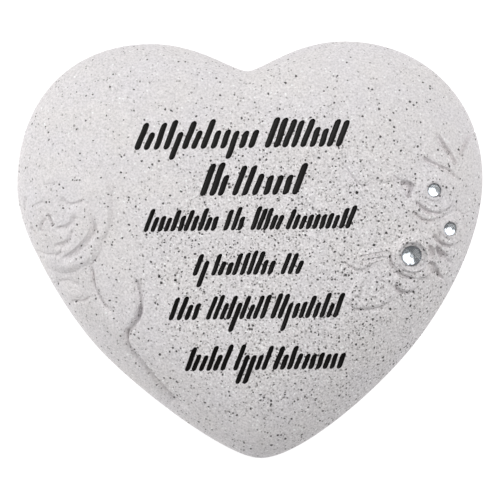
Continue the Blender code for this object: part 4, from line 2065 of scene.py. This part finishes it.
@dataclass(frozen=True)
class Softbox:
    """Square softbox that faces the stone.

    Attributes:
        name: Name of the light.
        bearing: Its bearing from the photo's right, in degrees.
        elevation: Its elevation over the table, in degrees.
        distance: Its distance in metres.
        size: Its width in metres.
        power: Its power in watts.
    """

    name: str
    bearing: float
    elevation: float
    distance: float
    size: float
    power: float

    def build(self) -> None:
        """Hangs the light."""
        bearing, elevation = math.radians(self.bearing), math.radians(self.elevation)
        flat = math.cos(elevation)
        away = Vector(
            (flat * math.cos(bearing), flat * math.sin(bearing), math.sin(elevation))
        )
        data = bpy.data.lights.new(self.name, "AREA")
        data.size, data.energy = self.size, self.power
        light = bpy.data.objects.new(self.name, data)
        light.location = away * self.distance
        light.rotation_euler = away.to_track_quat("Z", "Y").to_euler()
        bpy.context.scene.collection.objects.link(light)


@dataclass
class Studio:
    """Light table, soft lights and the camera that looks straight down.

    Attributes:
        plan: The stone's plan.
        frame_width: Width that the picture shows, in metres.
        focus_height: Height over the table at which it shows that width.
        roll: How far the camera is turned, in degrees.
        aim: Place on the plan at the middle of the picture.
        lens: Focal length in millimetres.
        sensor: Width of the sensor in millimetres.
        far_clip: Distance in metres beyond which the camera sees nothing.
        table_size: Width of the table in metres.
        sky: Colour of the even surroundings.
        sky_strength: Strength of their light.
        lights: The softboxes.
    """

    plan: Plan
    frame_width: float = 0.182
    focus_height: float = 0.022
    roll: float = -1.0
    aim: tuple[float, float] = (-0.4, 0.1)
    lens: float = 500.0
    sensor: float = 36.0
    far_clip: float = 100.0
    table_size: float = 3.0
    sky: str = "#FFFFFF"
    sky_strength: float = 0.20
    lights: tuple[Softbox, ...] = (
        Softbox("overhead_softbox", 30.0, 58.0, 1.30, 1.2, 11.9),
        Softbox("side_softbox", 149.0, 25.0, 1.40, 1.0, 8.2),
        Softbox("low_softbox", 202.0, 13.0, 1.40, 0.6, 4.2),
    )

    def build(self, table: bpy.types.Material) -> None:
        """Builds the set.

        Args:
            table: Finish of the light table.
        """
        scene = bpy.context.scene
        scene.view_settings.view_transform = "Standard"
        bm = bmesh.new()
        bmesh.ops.create_grid(bm, x_segments=1, y_segments=1, size=self.table_size / 2)
        floor = object_from(bm, "light_table", [table])
        floor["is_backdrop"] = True
        self.add_sky(scene)
        for light in self.lights:
            light.build()
        self.add_camera(scene)

    def add_sky(self, scene: bpy.types.Scene) -> None:
        """Gives the scene its even white surroundings.

        Args:
            scene: The scene.
        """
        world = bpy.data.worlds.new("white_studio")
        world.use_nodes = True
        tree = world.node_tree
        tree.nodes.clear()
        sky = add_node(
            tree, "Background", None,
            {"Color": linear(self.sky), "Strength": self.sky_strength},
        )
        add_node(tree, "OutputWorld", links={"Surface": sky.outputs[0]})
        scene.world = world

    def add_camera(self, scene: bpy.types.Scene) -> None:
        """Adds the camera over the stone.

        Args:
            scene: The scene.
        """
        data = bpy.data.cameras.new("overhead_camera")
        data.lens, data.sensor_width = self.lens, self.sensor
        x, y = self.plan.world(*self.aim)
        data.clip_end = self.far_clip
        camera = bpy.data.objects.new("overhead_camera", data)
        height = self.frame_width * self.lens / self.sensor + self.focus_height
        camera.location = (x, y, height)
        camera.rotation_euler = (0.0, 0.0, math.radians(self.roll))
        scene.collection.objects.link(camera)
        scene.camera = camera


def gem_settings(plan: Plan, form: StoneForm, carving: Carving) -> dict[str, Setting]:
    """Finds the seat of each rhinestone on the carved face.

    Args:
        plan: The stone's plan.
        form: The plain stone.
        carving: The relief.

    Returns:
        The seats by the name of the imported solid.
    """
    settings = {}
    for node, gem in GEMS.items():
        x, y = plan.world(gem.x, gem.y)
        lean = form.lean(x, y)
        height = form.face_height(np.array([x]), np.array([y]))[0] + plan.low.z
        rise = carving.height(np.array([x]), np.array([y]))[0]
        point = Vector((x, y, height)) + lean.normalized() * rise
        axis = Vector((lean.x * gem.lean_share, lean.y * gem.lean_share, 1.0)).normalized()
        settings[node] = Setting(point, axis, gem.radius)
    return settings


def write_sizes() -> None:
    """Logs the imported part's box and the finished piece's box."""
    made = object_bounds()
    boxes = {
        "cad": [list(corner) for corner in CAD_BOX],
        "visual": [list(corner) for corner in made],
    }
    for name, corners in boxes.items():
        log.info("%s box in mm: %s", name, [[round(c / MILLIMETRE, 2) for c in k] for k in corners])


def main() -> None:
    """Builds the studio, the stone and its rhinestones."""
    logging.basicConfig(level=logging.INFO, format="%(name)s: %(message)s")
    plan = Plan(*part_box("heart_stone"))
    form = StoneForm(plan)
    carving = Carving(plan, {node: (gem.x, gem.y) for node, gem in GEMS.items()})
    settings = gem_settings(plan, form, carving)
    Studio(plan).build(LightTable().build())
    heart = HeartStone(plan, form, carving, Inscription(plan, form), settings).build(
        CastStoneFinish().build(), EngravingEnamel().build()
    )
    log.info("%s: %d faces", heart.name, len(heart.data.polygons))
    glass, foil = CrystalGlass().build(), SilverFoil().build()
    for node, setting in settings.items():
        gem = Rhinestone(node, setting, GEMS[node].crown).build(glass, foil)
        log.info("%s: %d faces", gem.name, len(gem.data.polygons))
    write_sizes()


if __name__ == "__main__":
    main()
